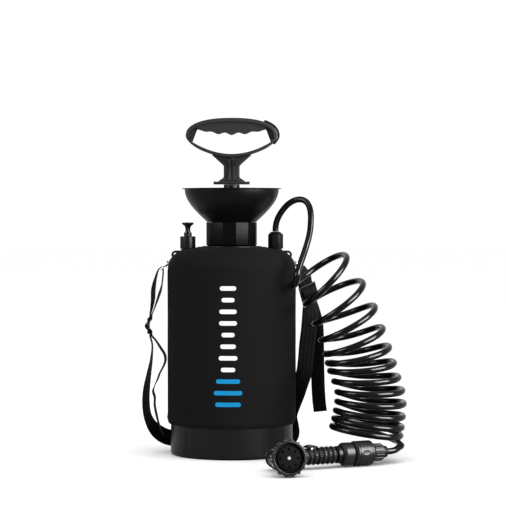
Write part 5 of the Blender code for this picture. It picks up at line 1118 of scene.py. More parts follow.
rib_low, rib_high = NECK_LOW_Z + 2 * MM, ARM_Z - 3 * MM
rib_edge = []
for share in np.linspace(0, 1, 17):
    waist = RIB_WAIST * math.sin(math.pi * share)
    rib_edge.append((7.8 * MM - float(waist), rib_low + (rib_high - rib_low) * float(share)))
rib_shape = [(1.4 * MM, rib_low), *rib_edge, (1.4 * MM, rib_high)]
ribs = []
for side in (1, -1):
    one = slab([(side * x, z) for x, z in rib_shape[::side]], 30 * MM)
    from_the_side = moved(slab(fin, 20 * MM), turn(90, "Z"))
    ribs.append(eased(fused(one, [from_the_side], "INTERSECT"), 1.9 * MM, 32, 4))
core = moved(eased(slab([(x * 0.55, z) for x, z in fin], 6.5 * MM), 0.6 * MM), turn(90, "Z"))
stem = [eased(slab(blade, 5.0 * MM), 0.8 * MM), core, *ribs, eased(slab(ears, 13 * MM), 0.8 * MM)]
print("stem:", sum(len(mesh.polygons) for mesh in stem), "faces in", len(stem), "shapes")

# %% [markdown]
# Loop and stem are moulded in one, so they are fused. The clip is a second moulding that grips
# the rim's right end from outside: a band between the same outline drawn a little larger, twice.

# %% Handle and its clip
CLIP_DEPTH, CLIP_THICKNESS = 18 * MM, 3.4 * MM
handle_mesh = fused(loop_mesh, stem, "UNION", "MANIFOLD")
handle = piece("handle", handle_mesh, "handle_plastic", ["pump_handle"])
inner, outer = eye_line(SEAT_GAP), eye_line(CLIP_THICKNESS)
keep = [k for k, (x, z) in enumerate(inner) if x > 49 * MM and z > 479 * MM]
keep.sort(key=lambda k: inner[k][1])
clip_line = [inner[k] for k in keep] + [outer[k] for k in reversed(keep)]
clip_mesh = eased(slab(clip_line, CLIP_DEPTH), 0.7 * MM)
clip = piece("clip", clip_mesh, "fitting_plastic", ["handle_clip"])
print("handle:", len(handle.data.polygons), "faces; clip:", len(clip.data.polygons))

# %% [markdown]
# ## The hose
# The hose is 4.2 metres of shiny black tube. It leaves the nut upwards, bends over, and is wound
# twelve and a half times beside the tank until its tail goes into the connector on the ground. A
# Bezier curve through hand-set handles would wobble. Here a few stations give the coil's width,
# height, lean and place, and one smooth curve through them gives every turn between.


# %% Smooth lines
def through(at, values, where):
    """A smooth curve through the values at their parameters, read at the wanted parameters."""
    slope = np.gradient(values, at, axis=0)
    k = np.clip(np.searchsorted(at, where, "right") - 1, 0, len(at) - 2)
    span = (at[k + 1] - at[k])[:, None]
    s = (where - at[k])[:, None] / span
    return (
        (2 * s**3 - 3 * s**2 + 1) * values[k]
        + (s**3 - 2 * s**2 + s) * span * slope[k]
        + (3 * s**2 - 2 * s**3) * values[k + 1]
        + (s**3 - s**2) * span * slope[k + 1]
    )


def run_along(points):
    steps = np.linalg.norm(np.diff(np.array(points)[:, :3], axis=0), axis=1)
    return np.concatenate([[0.0], np.cumsum(steps)])


def smooth(points, step):
    points = np.array(points, float)
    at = run_along(points)
    return through(at, points, np.linspace(0, at[-1], math.ceil(at[-1] / step) + 1))


def spread(points, step):
    """The line with its points spread evenly, so that no two lie close enough to pinch the tube."""
    at = run_along(points)
    where = np.linspace(0, at[-1], int(at[-1] / step) + 1)
    return np.stack([np.interp(where, at, points[:, i]) for i in range(3)], axis=1)


print("a line of 3 points, made smooth, has", len(smooth([(0, 0, 0), (1, 0, 0), (1, 1, 0)], 0.1)))

# %% [markdown]
# Each station of the coil is a turn's number with the left and right ends of that turn seen from
# the front, the middle of its depth, and how far its far side is raised. A hose this stiff holds
# its round, but its far strands hang a little, most in the middle of the coil.

# %% The coil
HOSE_RADIUS = 4.8 * MM
COIL_TURNS = 12.5
COIL_HALF_DEPTH = 49.0 * MM
COIL_STATIONS = (
    # turn, left x and z, right x and z, middle y, tilt
    (0.0, 0.0975, 0.2650, 0.1627, 0.3272, -0.0570, 0.0045),
    (2.0, 0.1266, 0.2048, 0.2103, 0.2485, -0.0600, 0.0040),
    (4.0, 0.1423, 0.1590, 0.2353, 0.1836, -0.0640, 0.0030),
    (6.0, 0.1496, 0.1338, 0.2503, 0.1356, -0.0720, 0.0020),
    (8.0, 0.1600, 0.1027, 0.2609, 0.0955, -0.0800, 0.0010),
    (10.0, 0.1574, 0.0755, 0.2587, 0.0578, -0.0875, 0.0010),
    (COIL_TURNS, 0.1500, 0.0465, 0.2533, 0.0262, -0.0950, 0.0010),
)
REAR_SAG = 10.0 * MM
SAG_FROM, SAG_TO, SAG_GROWS = 1.2, 11.4, 1.5
COARSE_STEPS, FINE_STEPS = 20, 64


def coil_line(turns):
    table = np.array(COIL_STATIONS)
    left_x, left_z, right_x, right_z, middle_y, tilt = through(table[:, 0], table[:, 1:], turns).T
    a = 2 * math.pi * turns
    to_left, to_right = (1 + np.cos(a)) / 2, (1 - np.cos(a)) / 2
    starts = np.clip((turns - SAG_FROM) / SAG_GROWS, 0, 1)
    ends = np.clip((SAG_TO - turns) / SAG_GROWS, 0, 1)
    sag = REAR_SAG * starts * ends * np.clip(np.sin(a), 0, 1) ** 2
    x = left_x * to_left + right_x * to_right
    y = middle_y + COIL_HALF_DEPTH * np.sin(a)
    z = left_z * to_left + right_z * to_right + tilt * np.sin(a) - sag
    return np.stack([x, y, z], axis=1)


coil = coil_line(np.linspace(0, COIL_TURNS, int(COIL_TURNS * FINE_STEPS) + 1))
print(f"coil: {run_along(coil)[-1]:.3f} m in {COIL_TURNS} turns")

# %% [markdown]
# The lead and the tail are short lists of places between the coil and what the hose is pushed on
# to. At both of their ends three points stand in a straight line, so the hose meets its fitting
# square and the coil without a kink. The three runs become one line, and a little smoothing joins
# them.

# %% The whole route
WAND = shift(0.1613, -0.1695, 0.0187) @ turn(27.0, "Z")
HOSE_NUT_TOP_Z = 344.2 * MM
HOSE_END_X = 77.3 * MM
LEAD_STEP, TAIL_STEP, HOSE_STEP = 4 * MM, 3 * MM, 3 * MM
SMOOTHINGS = 4


def unit(vector):
    return vector / np.linalg.norm(vector)


def square_end(place, away):
    """The hose's last stretch, straight and square to what it meets."""
    return [tuple(place + away * run) for run in (SEAT_GAP, HOSE_RADIUS, 2 * HOSE_RADIUS)]


coarse = coil_line(np.linspace(0, COIL_TURNS, int(COIL_TURNS * COARSE_STEPS) + 1))
into, out = unit(coarse[1] - coarse[0]), unit(coarse[-1] - coarse[-2])
coil_start = coarse[0] - into * 2 * HOSE_RADIUS
coil_end = coarse[-1] + out * 2 * HOSE_RADIUS
cap_end = np.array((WAND @ Vector((HOSE_END_X, 0, 0)))[:])
heading = np.array((WAND.to_3x3() @ Vector((1, 0, 0)))[:])
lead = [
    *square_end(np.array([PORT_OFFSET, 0.0, HOSE_NUT_TOP_Z]), np.array([0.0, 0.0, 1.0])),
    (0.0710, -0.001, 0.3640), (0.0785, -0.003, 0.3770), (0.0875, -0.006, 0.3870),
    (0.0975, -0.010, 0.3930), (0.1075, -0.014, 0.3945), (0.1155, -0.019, 0.3905),
    (0.1200, -0.025, 0.3820), (0.1218, -0.031, 0.3700), (0.1214, -0.037, 0.3570),
    (0.1198, -0.044, 0.3430), (0.1165, -0.052, 0.3300), (0.1122, -0.060, 0.3165),
    (0.1072, -0.070, 0.3030), (0.1025, -0.079, 0.2895), (0.0995, -0.0855, 0.2790),
    (0.0982, -0.0810, 0.2690), *square_end(coil_start, -into)[::-1],
]
tail = [
    *square_end(coil_end, out), (0.2520, -0.1150, 0.0235), (0.2470, -0.1238, 0.0203),
    *square_end(cap_end, heading)[::-1],
]
hose_line = np.vstack([smooth(lead, LEAD_STEP), coil, smooth(tail, TAIL_STEP)])
hose_line = spread(hose_line, HOSE_STEP)
for _ in range(SMOOTHINGS):
    hose_line[3:-3] = 0.5 * hose_line[3:-3] + 0.25 * (hose_line[2:-4] + hose_line[4:-2])
hose_length = float(run_along(hose_line)[-1])
print(f"hose: {hose_length:.3f} m along {len(hose_line)} points")

# %% [markdown]
# A curve with a bevel would give the tube too, but not a map in metres along it. So rings of
# points are laid along the line, each turned as little as possible from the one before, which
# keeps the tube from twisting, and the map is written as the faces are made.


# %% Hose tube
def tube(line, radius, sides=24):
    """A closed tube along a line, with a flat map: round it and along it, in metres."""
    line = [Vector(p) for p in line]
    ahead = [(b - a).normalized() for a, b in zip(line, line[1:])]
    ahead = [ahead[0], *[(a + b).normalized() for a, b in zip(ahead, ahead[1:])], ahead[-1]]
    across = ahead[0].orthogonal().normalized()
    at = run_along([p[:] for p in line])
    bm = bmesh.new()
    layer = bm.loops.layers.uv.new("flat")
    rings = []
    for place, forward in zip(line, ahead):
        across = (across - forward * across.dot(forward)).normalized()
        other = forward.cross(across)
        ring = ring_points(radius, sides)
        rings.append([bm.verts.new(place + across * x + other * y) for x, y in ring])
    for i, (a, b) in enumerate(zip(rings, rings[1:])):
        for k in range(sides):
            j = (k + 1) % sides
            face = bm.faces.new((a[k], a[j], b[j], b[k]))
            round_it = [k, k + 1, k + 1, k]
            along = [at[i], at[i], at[i + 1], at[i + 1]]
            for loop, u, v in zip(face.loops, round_it, along):
                loop[layer].uv = (u * 2 * math.pi * radius / sides, v)
    bm.faces.new(rings[0])
    bm.faces.new(rings[-1])
    return clean(bm)


hose_mesh = tube(hose_line, HOSE_RADIUS)
print("tube:", len(hose_mesh.polygons), "faces")

# %% [markdown]
# Drawn tube shines. Its gloss is broken by faint streaks along it, which the flat map stretches,
# by the hands that wound it and by dust, so its bright lines are never quite even.


# %% Hose finish
def shiny_hose():
    finish = Finish("shiny_hose", (0.0014, 0.0014, 0.0016), 0.12, {"Specular IOR Level": 0.085})
    flat = finish.map()
    drawn = finish.node("Mapping", None, {"Vector": flat, "Scale": (1.0, 0.04, 1.0)})
    streak = finish.grain(900.0, 3.0, drawn)
    handled = finish.grain(38.0, 4.0)
    dust = finish.grain(520.0, 4.0).step(0.60, 0.75) * handled.step(0.4, 0.7)
    finish.colour(finish.blend(dust * 0.3, (0.0020, 0.0020, 0.0022), (0.012, 0.012, 0.012)))
    finish.rough(0.15 + streak * 0.03 + dust * 0.06 + (handled - 0.5) * 0.04)
    finish.relief(streak * 0.3 + finish.grain(45.0, 2.0) * 0.7, 0.01 * MM)
    return finish.material


LOOKS["shiny_hose"] = shiny_hose()
hose = piece("hose", hose_mesh, "shiny_hose", ["hose_coil", "hose_lead", "hose_tail"])
print("hose finish:", len(LOOKS["shiny_hose"].node_tree.nodes), "nodes")

# %% [markdown]
# ## Patterns by nodes
# What repeats is placed by Geometry Nodes: an Array modifier could copy ribs, but not stitches
# along a seam, and nodes do both. A tree is built like a finish, call by call. It ends by making
# its copies real and giving them their material, because only a plain mesh is exported.


# %% A tree of nodes
class Tree:
    """A Geometry Nodes tree with named inputs, written as a chain of calls."""

    def __init__(self, name, **inputs):
        self.group = bpy.data.node_groups.new(name, "GeometryNodeTree")
        self.group.is_modifier = True
        new_socket = self.group.interface.new_socket
        new_socket("Geometry", in_out="INPUT", socket_type="NodeSocketGeometry")
        for key, kind in inputs.items():
            new_socket(key, in_out="INPUT", socket_type="NodeSocket" + kind)
        new_socket("Geometry", in_out="OUTPUT", socket_type="NodeSocketGeometry")
        self.start = self.group.nodes.new("NodeGroupInput")

    def given(self, name):
        return self.start.outputs[name]

    def node(self, kind, settings=None, inputs=None, output=0):
        made = self.group.nodes.new(kind)
        for key, value in (settings or {}).items():
            setattr(made, key, value)
        for key, value in (inputs or {}).items():
            if isinstance(value, bpy.types.NodeSocket):
                self.group.links.new(value, made.inputs[key])
            else:
                made.inputs[key].default_value = value
        return made.outputs[output]

    def math(self, operation, a, b):
        return self.node("ShaderNodeMath", {"operation": operation}, {0: a, 1: b})

    def close(self, geometry):
        real = self.node("GeometryNodeRealizeInstances", None, {0: geometry})
        with_finish = {0: real, "Material": self.given("Finish")}
        end = self.group.nodes.new("NodeGroupOutput")
        shown = self.node("GeometryNodeSetMaterial", None, with_finish)
        self.group.links.new(shown, end.inputs[0])
        return self.group


def by_nodes(mesh, tree, **values):
    """The mesh that a tree makes of another, as plain geometry."""
    obj = as_object("pattern", mesh)
    modifier = obj.modifiers.new("Pattern", "NODES")
    modifier.node_group = tree
    for item in tree.interface.items_tree:
        if item.in_out == "INPUT" and item.name in values:
            modifier[item.identifier] = values[item.name]
    return with_modifiers(obj)


print("a Tree has", ", ".join(key for key in vars(Tree) if not key.startswith("__")))

# %% [markdown]
# The first tree copies a shape round the Z axis, as for ribs, knobs and holes: points in a row,
# all at the origin, each turned by its share of a full circle.


# %% Copies in a ring
def ring_tree():
    tree = Tree("ring_of", Count="Int", Start="Float", Finish="Material")
    count = tree.given("Count")
    row = tree.node("GeometryNodeMeshLine", None, {"Count": count, "Offset": (0, 0, 0)})
    share = tree.math("DIVIDE", tree.node("GeometryNodeInputIndex"), count)
    angle = tree.math("ADD", tree.math("MULTIPLY", share, 2 * math.pi), tree.given("Start"))
    turned_by = tree.node("ShaderNodeCombineXYZ", None, {"Z": angle})
    values = {"Points": row, "Instance": tree.given("Geometry"), "Rotation": turned_by}
    return tree.close(tree.node("GeometryNodeInstanceOnPoints", None, values))


RING_OF = ring_tree()


def all_round(mesh, count, start=0.0):
    finish = LOOKS["fitting_plastic"]
    return by_nodes(mesh, RING_OF, Count=count, Start=start, Finish=finish)


print(RING_OF.name, "has", len(RING_OF.nodes), "nodes")

# %% [markdown]
# The second tree lays small rounded beads end to end along lines, each turned to follow its line:
# that is a row of stitches. A bead has only a few faces, because a seam has hundreds of them.


# %% Stitches along lines
def stitch_tree():
    tree = Tree("stitches_along", Pitch="Float", Length="Float", Radius="Float", Finish="Material")
    curve = tree.node("GeometryNodeMeshToCurve", None, {0: tree.given("Geometry")})
    spacing = {0: curve, "Length": tree.given("Pitch")}
    even_line = tree.node("GeometryNodeResampleCurve", {"mode": "LENGTH"}, spacing)
    bead = tree.node("GeometryNodeMeshUVSphere", None, {"Segments": 6, "Rings": 4, "Radius": 1.0})
    bead = tree.node("GeometryNodeSetShadeSmooth", None, {0: bead})
    half, radius = tree.math("MULTIPLY", tree.given("Length"), 0.5), tree.given("Radius")
    size = tree.node("ShaderNodeCombineXYZ", None, {"X": half, "Y": radius, "Z": radius})
    bead = tree.node("GeometryNodeTransform", None, {0: bead, "Scale": size})
    tangent = tree.node("GeometryNodeInputTangent")
    along = tree.node("FunctionNodeAlignRotationToVector", {"axis": "X"}, {"Vector": tangent})
    values = {"Points": even_line, "Instance": bead, "Rotation": along}
    return tree.close(tree.node("GeometryNodeInstanceOnPoints", None, values))


STITCHES_ALONG = stitch_tree()


def stitches(lines, pitch, length, radius):
    """Rows of stitches along (points, closed) lines."""
    bm = bmesh.new()
    for points, closed in lines:
        verts = [bm.verts.new(point) for point in points]
        for pair in zip(verts, verts[1:] + (verts[:1] if closed else [])):
            bm.edges.new(pair)
    mesh = bpy.data.meshes.new("lines")
    bm.to_mesh(mesh)
    bm.free()
    sizes = {"Pitch": pitch, "Length": length, "Radius": radius}
    return by_nodes(mesh, STITCHES_ALONG, **sizes, Finish=LOOKS["black_thread"])


print(STITCHES_ALONG.name, "has", len(STITCHES_ALONG.nodes), "nodes")

# %% [markdown]
# ## Stitching the sleeve
# Thread lies on the cloth, wherever the cloth is. Its lines could be worked out from the sleeve's
# sizes, but the foam swells and ripples, so rays are dropped on to the cloth from outside, and
# each point of a seam is where one lands, lifted by a tenth of a millimetre.

# %% Seams on the cloth
THREAD_LIFT = 0.12 * MM
FAR_OUT = 0.15
SLOT_SEAM = SLOT_HALF + 3.6 * MM
SLOT_ENDS = (88 * MM, 78 * MM)
cloth_points = [v.co for v in sleeve_mesh.vertices]
cloth_tree = BVHTree.FromPolygons(cloth_points, [face.vertices for face in sleeve_mesh.polygons])


def on_cloth(rays):
    """Where the rays, each (start, way), land on the cloth."""
    hits = [cloth_tree.ray_cast(Vector(start), Vector(way))[:2] for start, way in rays]
    return [place + normal * THREAD_LIFT for place, normal in hits if place]


def inward(a, z):
    """The ray from outside to the axis, at an angle and a height."""
    way = (-math.cos(a), -math.sin(a), 0)
    return (FAR_OUT * math.cos(a), FAR_OUT * math.sin(a), z), way


def seam_round(z, count=160):
    return on_cloth([inward(2 * math.pi * k / count, z) for k in range(count)]), True


def half_seam_round(z, side, count=80):
    """A seam round the front (-1) or the back (1) only, from one port's slot to the other's."""
    reach = math.asin((SLOT_HALF + 4.0 * MM) / TANK_RADIUS)
    angles = [side * (reach + (math.pi - 2 * reach) * k / count) for k in range(count + 1)]
    return on_cloth([inward(a, z) for a in angles]), False


def seam_up(x, low, high, count=60):
    heights = [low + (high - low) * k / count for k in range(count + 1)]
    return on_cloth([((x, FAR_OUT, z), (0, -1, 0)) for z in heights]), False


def seam_of_slot(side):
    edge = [(x, SLOT_SEAM) for x in SLOT_ENDS] + slot_nose(SLOT_SEAM)
    edge += [(x, -SLOT_SEAM) for x in SLOT_ENDS[::-1]]
    return on_cloth([((side * x, y, 0.4), (0, 0, -1)) for x, y in edge]), False


print("one seam round the hem:", len(seam_round(SLEEVE_HEM_Z + 9.0 * MM)[0]), "points")

# %% [markdown]
# Two rows run round the hem, one row on each side of the two seams, and one round each port's
# slot. The sleeve is then one sheet of cloth, stretched on the tank: cut flat, it is as wide as
# the tank is round and as high as wall and shoulder together.

# %% Sleeve stitches
SEAM_TO_THREAD = 1.9 * MM
HEM_ROWS = (6.5 * MM, 9.0 * MM)
BACK_SEAM = (SLEEVE_HEM_Z + 2 * MM, 312 * MM)
rows = [seam_round(SLEEVE_HEM_Z + up) for up in HEM_ROWS]
rows += [seam_up(side * SEAM_TO_THREAD, *BACK_SEAM) for side in (-1, 1)]
rows += [seam_of_slot(side) for side in (1, -1)]
for z in (SHOULDER_SEAM_Z - SEAM_TO_THREAD, SHOULDER_SEAM_Z + SEAM_TO_THREAD):
    rows += [half_seam_round(z, -1), half_seam_round(z, 1)]
sewing = stitches(rows, 3.4 * MM, 2.6 * MM, 0.28 * MM)
sleeve = piece("sleeve_jacket", sleeve_mesh, "neoprene", ["sleeve"])
riding("sleeve_stitches", sewing, "sleeve")
print("sewing:", len(sewing.polygons), "faces")

# %% [markdown]
# ## Relief valve and hose nut
# The valve is two turned forms: a body, as a cup with a boss on it, and a knob with a waist for
# two fingertips. Their outlines are written in millimetres above the valve's foot, as on a
# drawing, with a corner's own radius as third number. The nut keeps its eight flats; easing its
# edges draws the upright bright lines between them.

# %% Valve and nut
VALVE_Z = 318.2 * MM


def raised(profile, low=0.0):
    return [(r * MM, low + z * MM, *(radius * MM for radius in rest)) for r, z, *rest in profile]


valve_line = [
    (3.5, 0), (12.0, 0, 0.5), (12.0, 18.8, 0.9), (6.1, 18.8, 0.4), (6.1, 25.0, 0.7),
    (2.5, 25.0, 0.2), (2.5, 16.2), (9.4, 16.2), (9.4, 2.0), (3.5, 2.0),
]
knob_line = [
    (0, 3.3), (6.0, 3.3), (6.0, 5.3), (2.0, 5.3), (2.0, 25.3), (4.6, 25.3, 0.4), (3.7, 29.3, 6.0),
    (4.6, 34.0, 4.0), (9.2, 37.9, 1.0), (9.2, 39.6, 0.6), (8.0, 40.3, 0.6), (0, 40.3),
]
valve_parts = {"relief_body": ("valve_body", valve_line), "relief_knob": ("valve_knob", knob_line)}
for node, (name, line) in valve_parts.items():
    mesh = turned(rounded(raised(line, VALVE_Z), 0, 5), 72)
    piece(name, moved(mesh, shift(-PORT_OFFSET)), "fitting_plastic", [node])
nut = solid_copy("hose_nut", 0.7 * MM)
piece("outlet_nut", nut, "fitting_plastic", ["hose_nut"], 20)

# %% [markdown]
# ## The quick connector
# The connector lies on the ground, its mouth towards the handset. Everything on it is turned
# about Z like the other pieces, and then laid along the connector's own axis in one move, so its
# outlines stay as simple as theirs. A thumb pocket is pressed into each side of the body, and the
# nut behind it has fourteen soft ribs, one rib copied round by the ring tree.


# %% Connector
LAID = WAND @ turn(90, "Y")
NUT_RIBS = 14


def along_x(profile, sides=96):
    """A turned solid whose axis is the connector's, from (radius, x) in millimetres."""
    return moved(turned(rounded(raised(profile), 0.0, 5), sides), LAID)


body_line = [
    (8, 1), (12.4, 1, 0.4), (12.4, 20), (16.6, 20, 0.9), (18.4, 23, 1.6), (18.4, 48.6, 1.2),
    (17.2, 50, 0.6), (11.4, 50), (11.4, 53), (2.4, 53), (2.4, 42), (8, 39),
]
thumb = [(6.2 * MM * x, 3.8 * MM * z) for x, z in ring_points(1.0, 40)]
pocket_tool = moved(eased(slab(thumb, 2.4 * MM), 0.5 * MM, 60), shift(35.0 * MM, -18.6 * MM, 0))
pocket_tools = [moved(pocket_tool.copy(), WAND @ turn(a, "X")) for a in (-8, 172)]
grooves = [along_x([(17.6, x), (20, x), (20, x + 0.8), (17.6, x + 0.8)]) for x in (25.0, 45.0)]
ring_line = [
    (12.9, 0), (14.2, 0, 0.6), (17.0, 3.2, 2.0), (17.0, 16.2, 0.8), (16.0, 17, 0.5), (12.9, 17),
]
nut_rib = moved(rod(1.3 * MM, 54.3 * MM, 68.3 * MM, 12, 0.5 * MM), shift(12.1 * MM))
nut_core = along_x([(4.1, 53.3), (12.4, 53.3, 0.8), (12.4, 69.3, 0.8), (4.1, 69.3)])
end_line = [(4.1, 69.6), (9.9, 69.6, 0.6), (8.4, 77.3, 0.9), (4.1, 77.3)]
spigot_line = [
    (4.5, -8.3), (12.6, -8.3, 0.9), (12.6, -2.0, 0.8), (11.4, -0.3), (7.5, -0.3), (7.5, 8.7),
    (6.0, 8.7), (6.0, 11.1), (7.5, 11.1), (6.5, 14, 0.3), (4.5, 14),
]
body_mesh = cut(along_x(body_line), *pocket_tools, *grooves)
nut_mesh = together(nut_core, moved(all_round(nut_rib, NUT_RIBS), LAID))
CONNECTOR = {
    "connector_body": ("coupling", body_mesh, "coupling_plastic"),
    "connector_collar": ("coupling_ring", along_x(ring_line), "coupling_plastic"),
    "connector_nut": ("coupling_nut", nut_mesh, "coupling_plastic"),
    "hose_end_cap": ("hose_cap", along_x(end_line), "fitting_plastic"),
    "handset_adapter": ("spigot", along_x(spigot_line), "fitting_plastic"),
}
for node, (name, mesh, finish) in CONNECTOR.items():
    piece(name, mesh, finish, [node])

# %% [markdown]
# ## The handset
# A core runs from the spigot to an elbow, where a fat barrel crosses it and carries the spray
# head. The rubber grip on the core has seven rolls, and each roll has a ring of small knobs that
# catch the light as dots. Knobs in the relief of the rubber would be cheaper, but they would not
# stand out against the light, so they are real. A well is cut into the grip for the thumb lever,
# and the knobs near it are taken away.

# %% Grip
GRIP_LOW, GRIP_LENGTH = -64.6, 54
ROLLS, KNOBS = 7, 18
ROLL = GRIP_LENGTH / ROLLS
WELL_X = -50 * MM
grip_line = [(9.3, GRIP_LOW)]
for x in (GRIP_LOW + k * ROLL for k in range(ROLLS)):
    grip_line += [(11.0, x + 0.1), (12.2, x + 1.4, 0.9), (12.2, x + 5.0, 0.9)]
    grip_line += [(10.8, x + 6.2, 0.6), (10.8, x + 7.4)]
grip_line.append((9.3, GRIP_LOW + GRIP_LENGTH))
well = moved(block((23 * MM, 12 * MM, 20 * MM), (WELL_X, 0, 16 * MM)), WAND)
grip_mesh = cut(along_x(grip_line, 72), well)
piece("grip", grip_mesh, "black_rubber", ["grip_sleeve"], 50)
print("grip:", len(grip_mesh.polygons), "faces")

# %% [markdown]
# One knob is lifted to its roll and copied round by the ring tree, and every second ring is
# turned by half a step, so the knobs of two rolls don't line up. They ride with the grip.

# %% Knobs on the grip
knob = moved(rod(1.15 * MM, 0, 1.7 * MM, 10, 0.7 * MM), turn(90, "Y"))
rings = []
for k in range(ROLLS):
    place = shift(x=11.5 * MM, z=(GRIP_LOW + (k + 0.42) * ROLL) * MM)
    rings.append(all_round(moved(knob.copy(), place), KNOBS, math.pi / KNOBS * (k % 2)))
knobs = bmesh.new()
knobs.from_mesh(moved(together(*rings), LAID))
to_wand = WAND.inverted()
near_well = []
for vert in knobs.verts:
    x, _, z = to_wand @ vert.co
    if abs(x - WELL_X) < 13 * MM and z > 4 * MM:
        near_well.append(vert)
gone = {face for vert in near_well for face in vert.link_faces}
bmesh.ops.delete(knobs, geom=list(gone), context="FACES")
knob_mesh = painted(clean(knobs), "glossy_rubber")
knob_mesh.shade_smooth()
riding("grip_knobs", knob_mesh, "grip_sleeve")
print("knobs:", len(knob_mesh.polygons), "faces")

# %% [markdown]
# The spray head is turned about an axis of its own, across the core and tipped a little up. Its
# dial is a ring with sixteen finger knobs round a deep nozzle plate, whose plastic is darkened as
# painted shade for its recess. The plate's holes are cut by rods from the ring tree: eight wide
# ones and two rings of fine jets.

# %% Spray head
HEAD = WAND @ shift(-104.7 * MM) @ turn(-104.4, "Z") @ turn(83.1, "Y")
DIAL_KNOBS = 16
JET_RINGS = ((6.0 * MM, 8), (8.6 * MM, 12))


def on_head(profile, sides=96):
    return moved(turned(rounded(raised(profile), 0, 5), sides), HEAD)


def holes_round(radius, count, bore, low, sides):
    hole = moved(rod(bore, low, 75 * MM, sides), shift(radius))
    return moved(all_round(hole, count), HEAD)


shell_line = [
    (11.8, 35.2), (14.0, 35.2, 0.6), (20.5, 48.2, 5.0), (22.5, 57.2, 2.0), (22.5, 60.2, 0.5),
    (19.5, 60.2), (17.5, 49.2), (11.8, 40.5),
]
rear_line = [(0, -23.3), (9.0, -22.2, 2.0), (13.4, -18.6, 3.0), (14.5, -14.3, 0.4), (0, -14.3)]
dial_line = [
    (20.7, 60.5), (22.4, 60.5, 0.5), (24.4, 62.9, 1.2), (25.1, 75.4, 1.0), (24.0, 77.2, 0.8),
    (21.6, 77.2, 0.5), (20.7, 75.2, 0.6),
]
plate_line = [
    (1.5, 70.7), (20.4, 70.7), (20.4, 71.5, 0.3), (17.2, 71.5, 0.4), (16.6, 73.7, 0.5), (1.5, 73.7),
]
stud_line = [(0, 70.7), (1.15, 70.7), (1.15, 74.0), (2.4, 74.0, 0.2), (2.0, 75.6, 0.8), (0, 75.9)]
dial_knob = rod(2.1 * MM, 62.6 * MM, 75.2 * MM, 16, 0.9 * MM)
dial_knob = moved(dial_knob, shift(21.6 * MM) @ turn(2.5, "Y"))
dial_knobs = moved(all_round(dial_knob, DIAL_KNOBS, math.pi / DIAL_KNOBS), HEAD)
wide_holes = holes_round(13.0 * MM, 8, 1.6 * MM, 69 * MM, 20)
jets = [holes_round(radius, count, 0.5 * MM, 72 * MM, 8) for radius, count in JET_RINGS]
plate_mesh = cut(on_head(plate_line), wide_holes, *jets)
HANDSET = {
    "head_shell": ("head", on_head(shell_line), "satin_plastic"),
    "rear_cap": ("head_end", on_head(rear_line), "polished_plastic"),
    "spray_dial": ("dial", together(on_head(dial_line), dial_knobs), "dial_plastic"),
    "nozzle_face": ("face", plate_mesh, "nozzle_plastic_painted_shade"),
    "centre_cap": ("face_stud", on_head(stud_line, 40), "grey_plastic"),
    "handset_body": ("grip_body", solid_copy("handset_body", 0.5 * MM), "fitting_plastic"),
    "thumb_lever": ("flow_lever", solid_copy("thumb_lever", 0.6 * MM), "satin_plastic"),
}
for node, (name, mesh, finish) in HANDSET.items():
    piece(name, mesh, finish, [node])

# %% [markdown]
# ## Hooks and sliders
# A snap hook is bent and cast steel: a hook with a sprung gate, and an eye that swivels on its
# foot. The slider is a plastic ladder with three bars. The solid model already has their full
# form, so each is copied, and only its edges are eased, by less on the thin gates.

# %% Hooks and sliders
STEEL_FITTINGS = {
    "left_hook": ("left_snap", 0.3), "left_gate": ("left_latch", 0.2),
    "left_eye": ("left_swivel", 0.5), "right_hook": ("right_snap", 0.3),
    "right_gate": ("right_latch", 0.2), "right_eye": ("right_swivel", 0.5),
}
for node, (name, width) in STEEL_FITTINGS.items():
    piece(name, solid_copy(node, width * MM), "bright_steel", [node], 55)
for side in ("left", "right"):
    node = f"{side}_slider"
    piece(f"{side}_buckle", solid_copy(node, 0.7 * MM), "fitting_plastic", [node])

# %% [markdown]
# ## The straps
# Each strap is one length of 25 mm webbing. It is sewn round a bracket at the back of the base,
# goes up through a slider, over the eye of its snap hook, back through the slider and ends in a
# loose tail. A simulated ribbon would find some way through the slider, but not the one in the
# picture. So the route is a list of places, each with the direction of the webbing's width, and
# the parts that pass round bars are found from the bars' sizes.

# %% Where the bars are
SLIDER_PITCH = 11.0 * MM
EYE_BAR = 2.4 * MM
SEWN_Z = 18.0 * MM
LEFT_SLIDER = shift(-0.1295, 0.0100, 0.1980) @ turn(-90, "Z")
RIGHT_SLIDER = shift(0.1195, 0.0110, 0.2500) @ turn(-15, "Y") @ turn(14, "X") @ turn(30, "Z")


def hook_frame(side, lean):
    """Where a snap hook hangs: its origin beside the lug's hole, and -Z towards the eye."""
    return shift(side * LUG_HOLE[0], 0, LUG_HOLE[1]) @ turn(lean, "Y") @ shift(z=-0.9 * MM)


SWIVEL_DROP = shift(z=-30.5 * MM)
LEFT_EYE = hook_frame(-1, 45) @ turn(-90, "Z") @ SWIVEL_DROP
RIGHT_EYE = hook_frame(1, -43) @ turn(68, "Z") @ SWIVEL_DROP


def wrap_radius(bar):
    return bar * math.sqrt(0.5) + SEAT_GAP + WEBBING_THICKNESS / 2


print(f"round a slider's bar the webbing turns on {wrap_radius(BAR) / MM:.1f} mm")

# %% [markdown]
# A slider holds webbing by friction: each layer goes behind the outer bars and in front of the
# middle one. At an eye the strap simply turns back, and at its sewn end it wraps a bar and lies
# on itself.


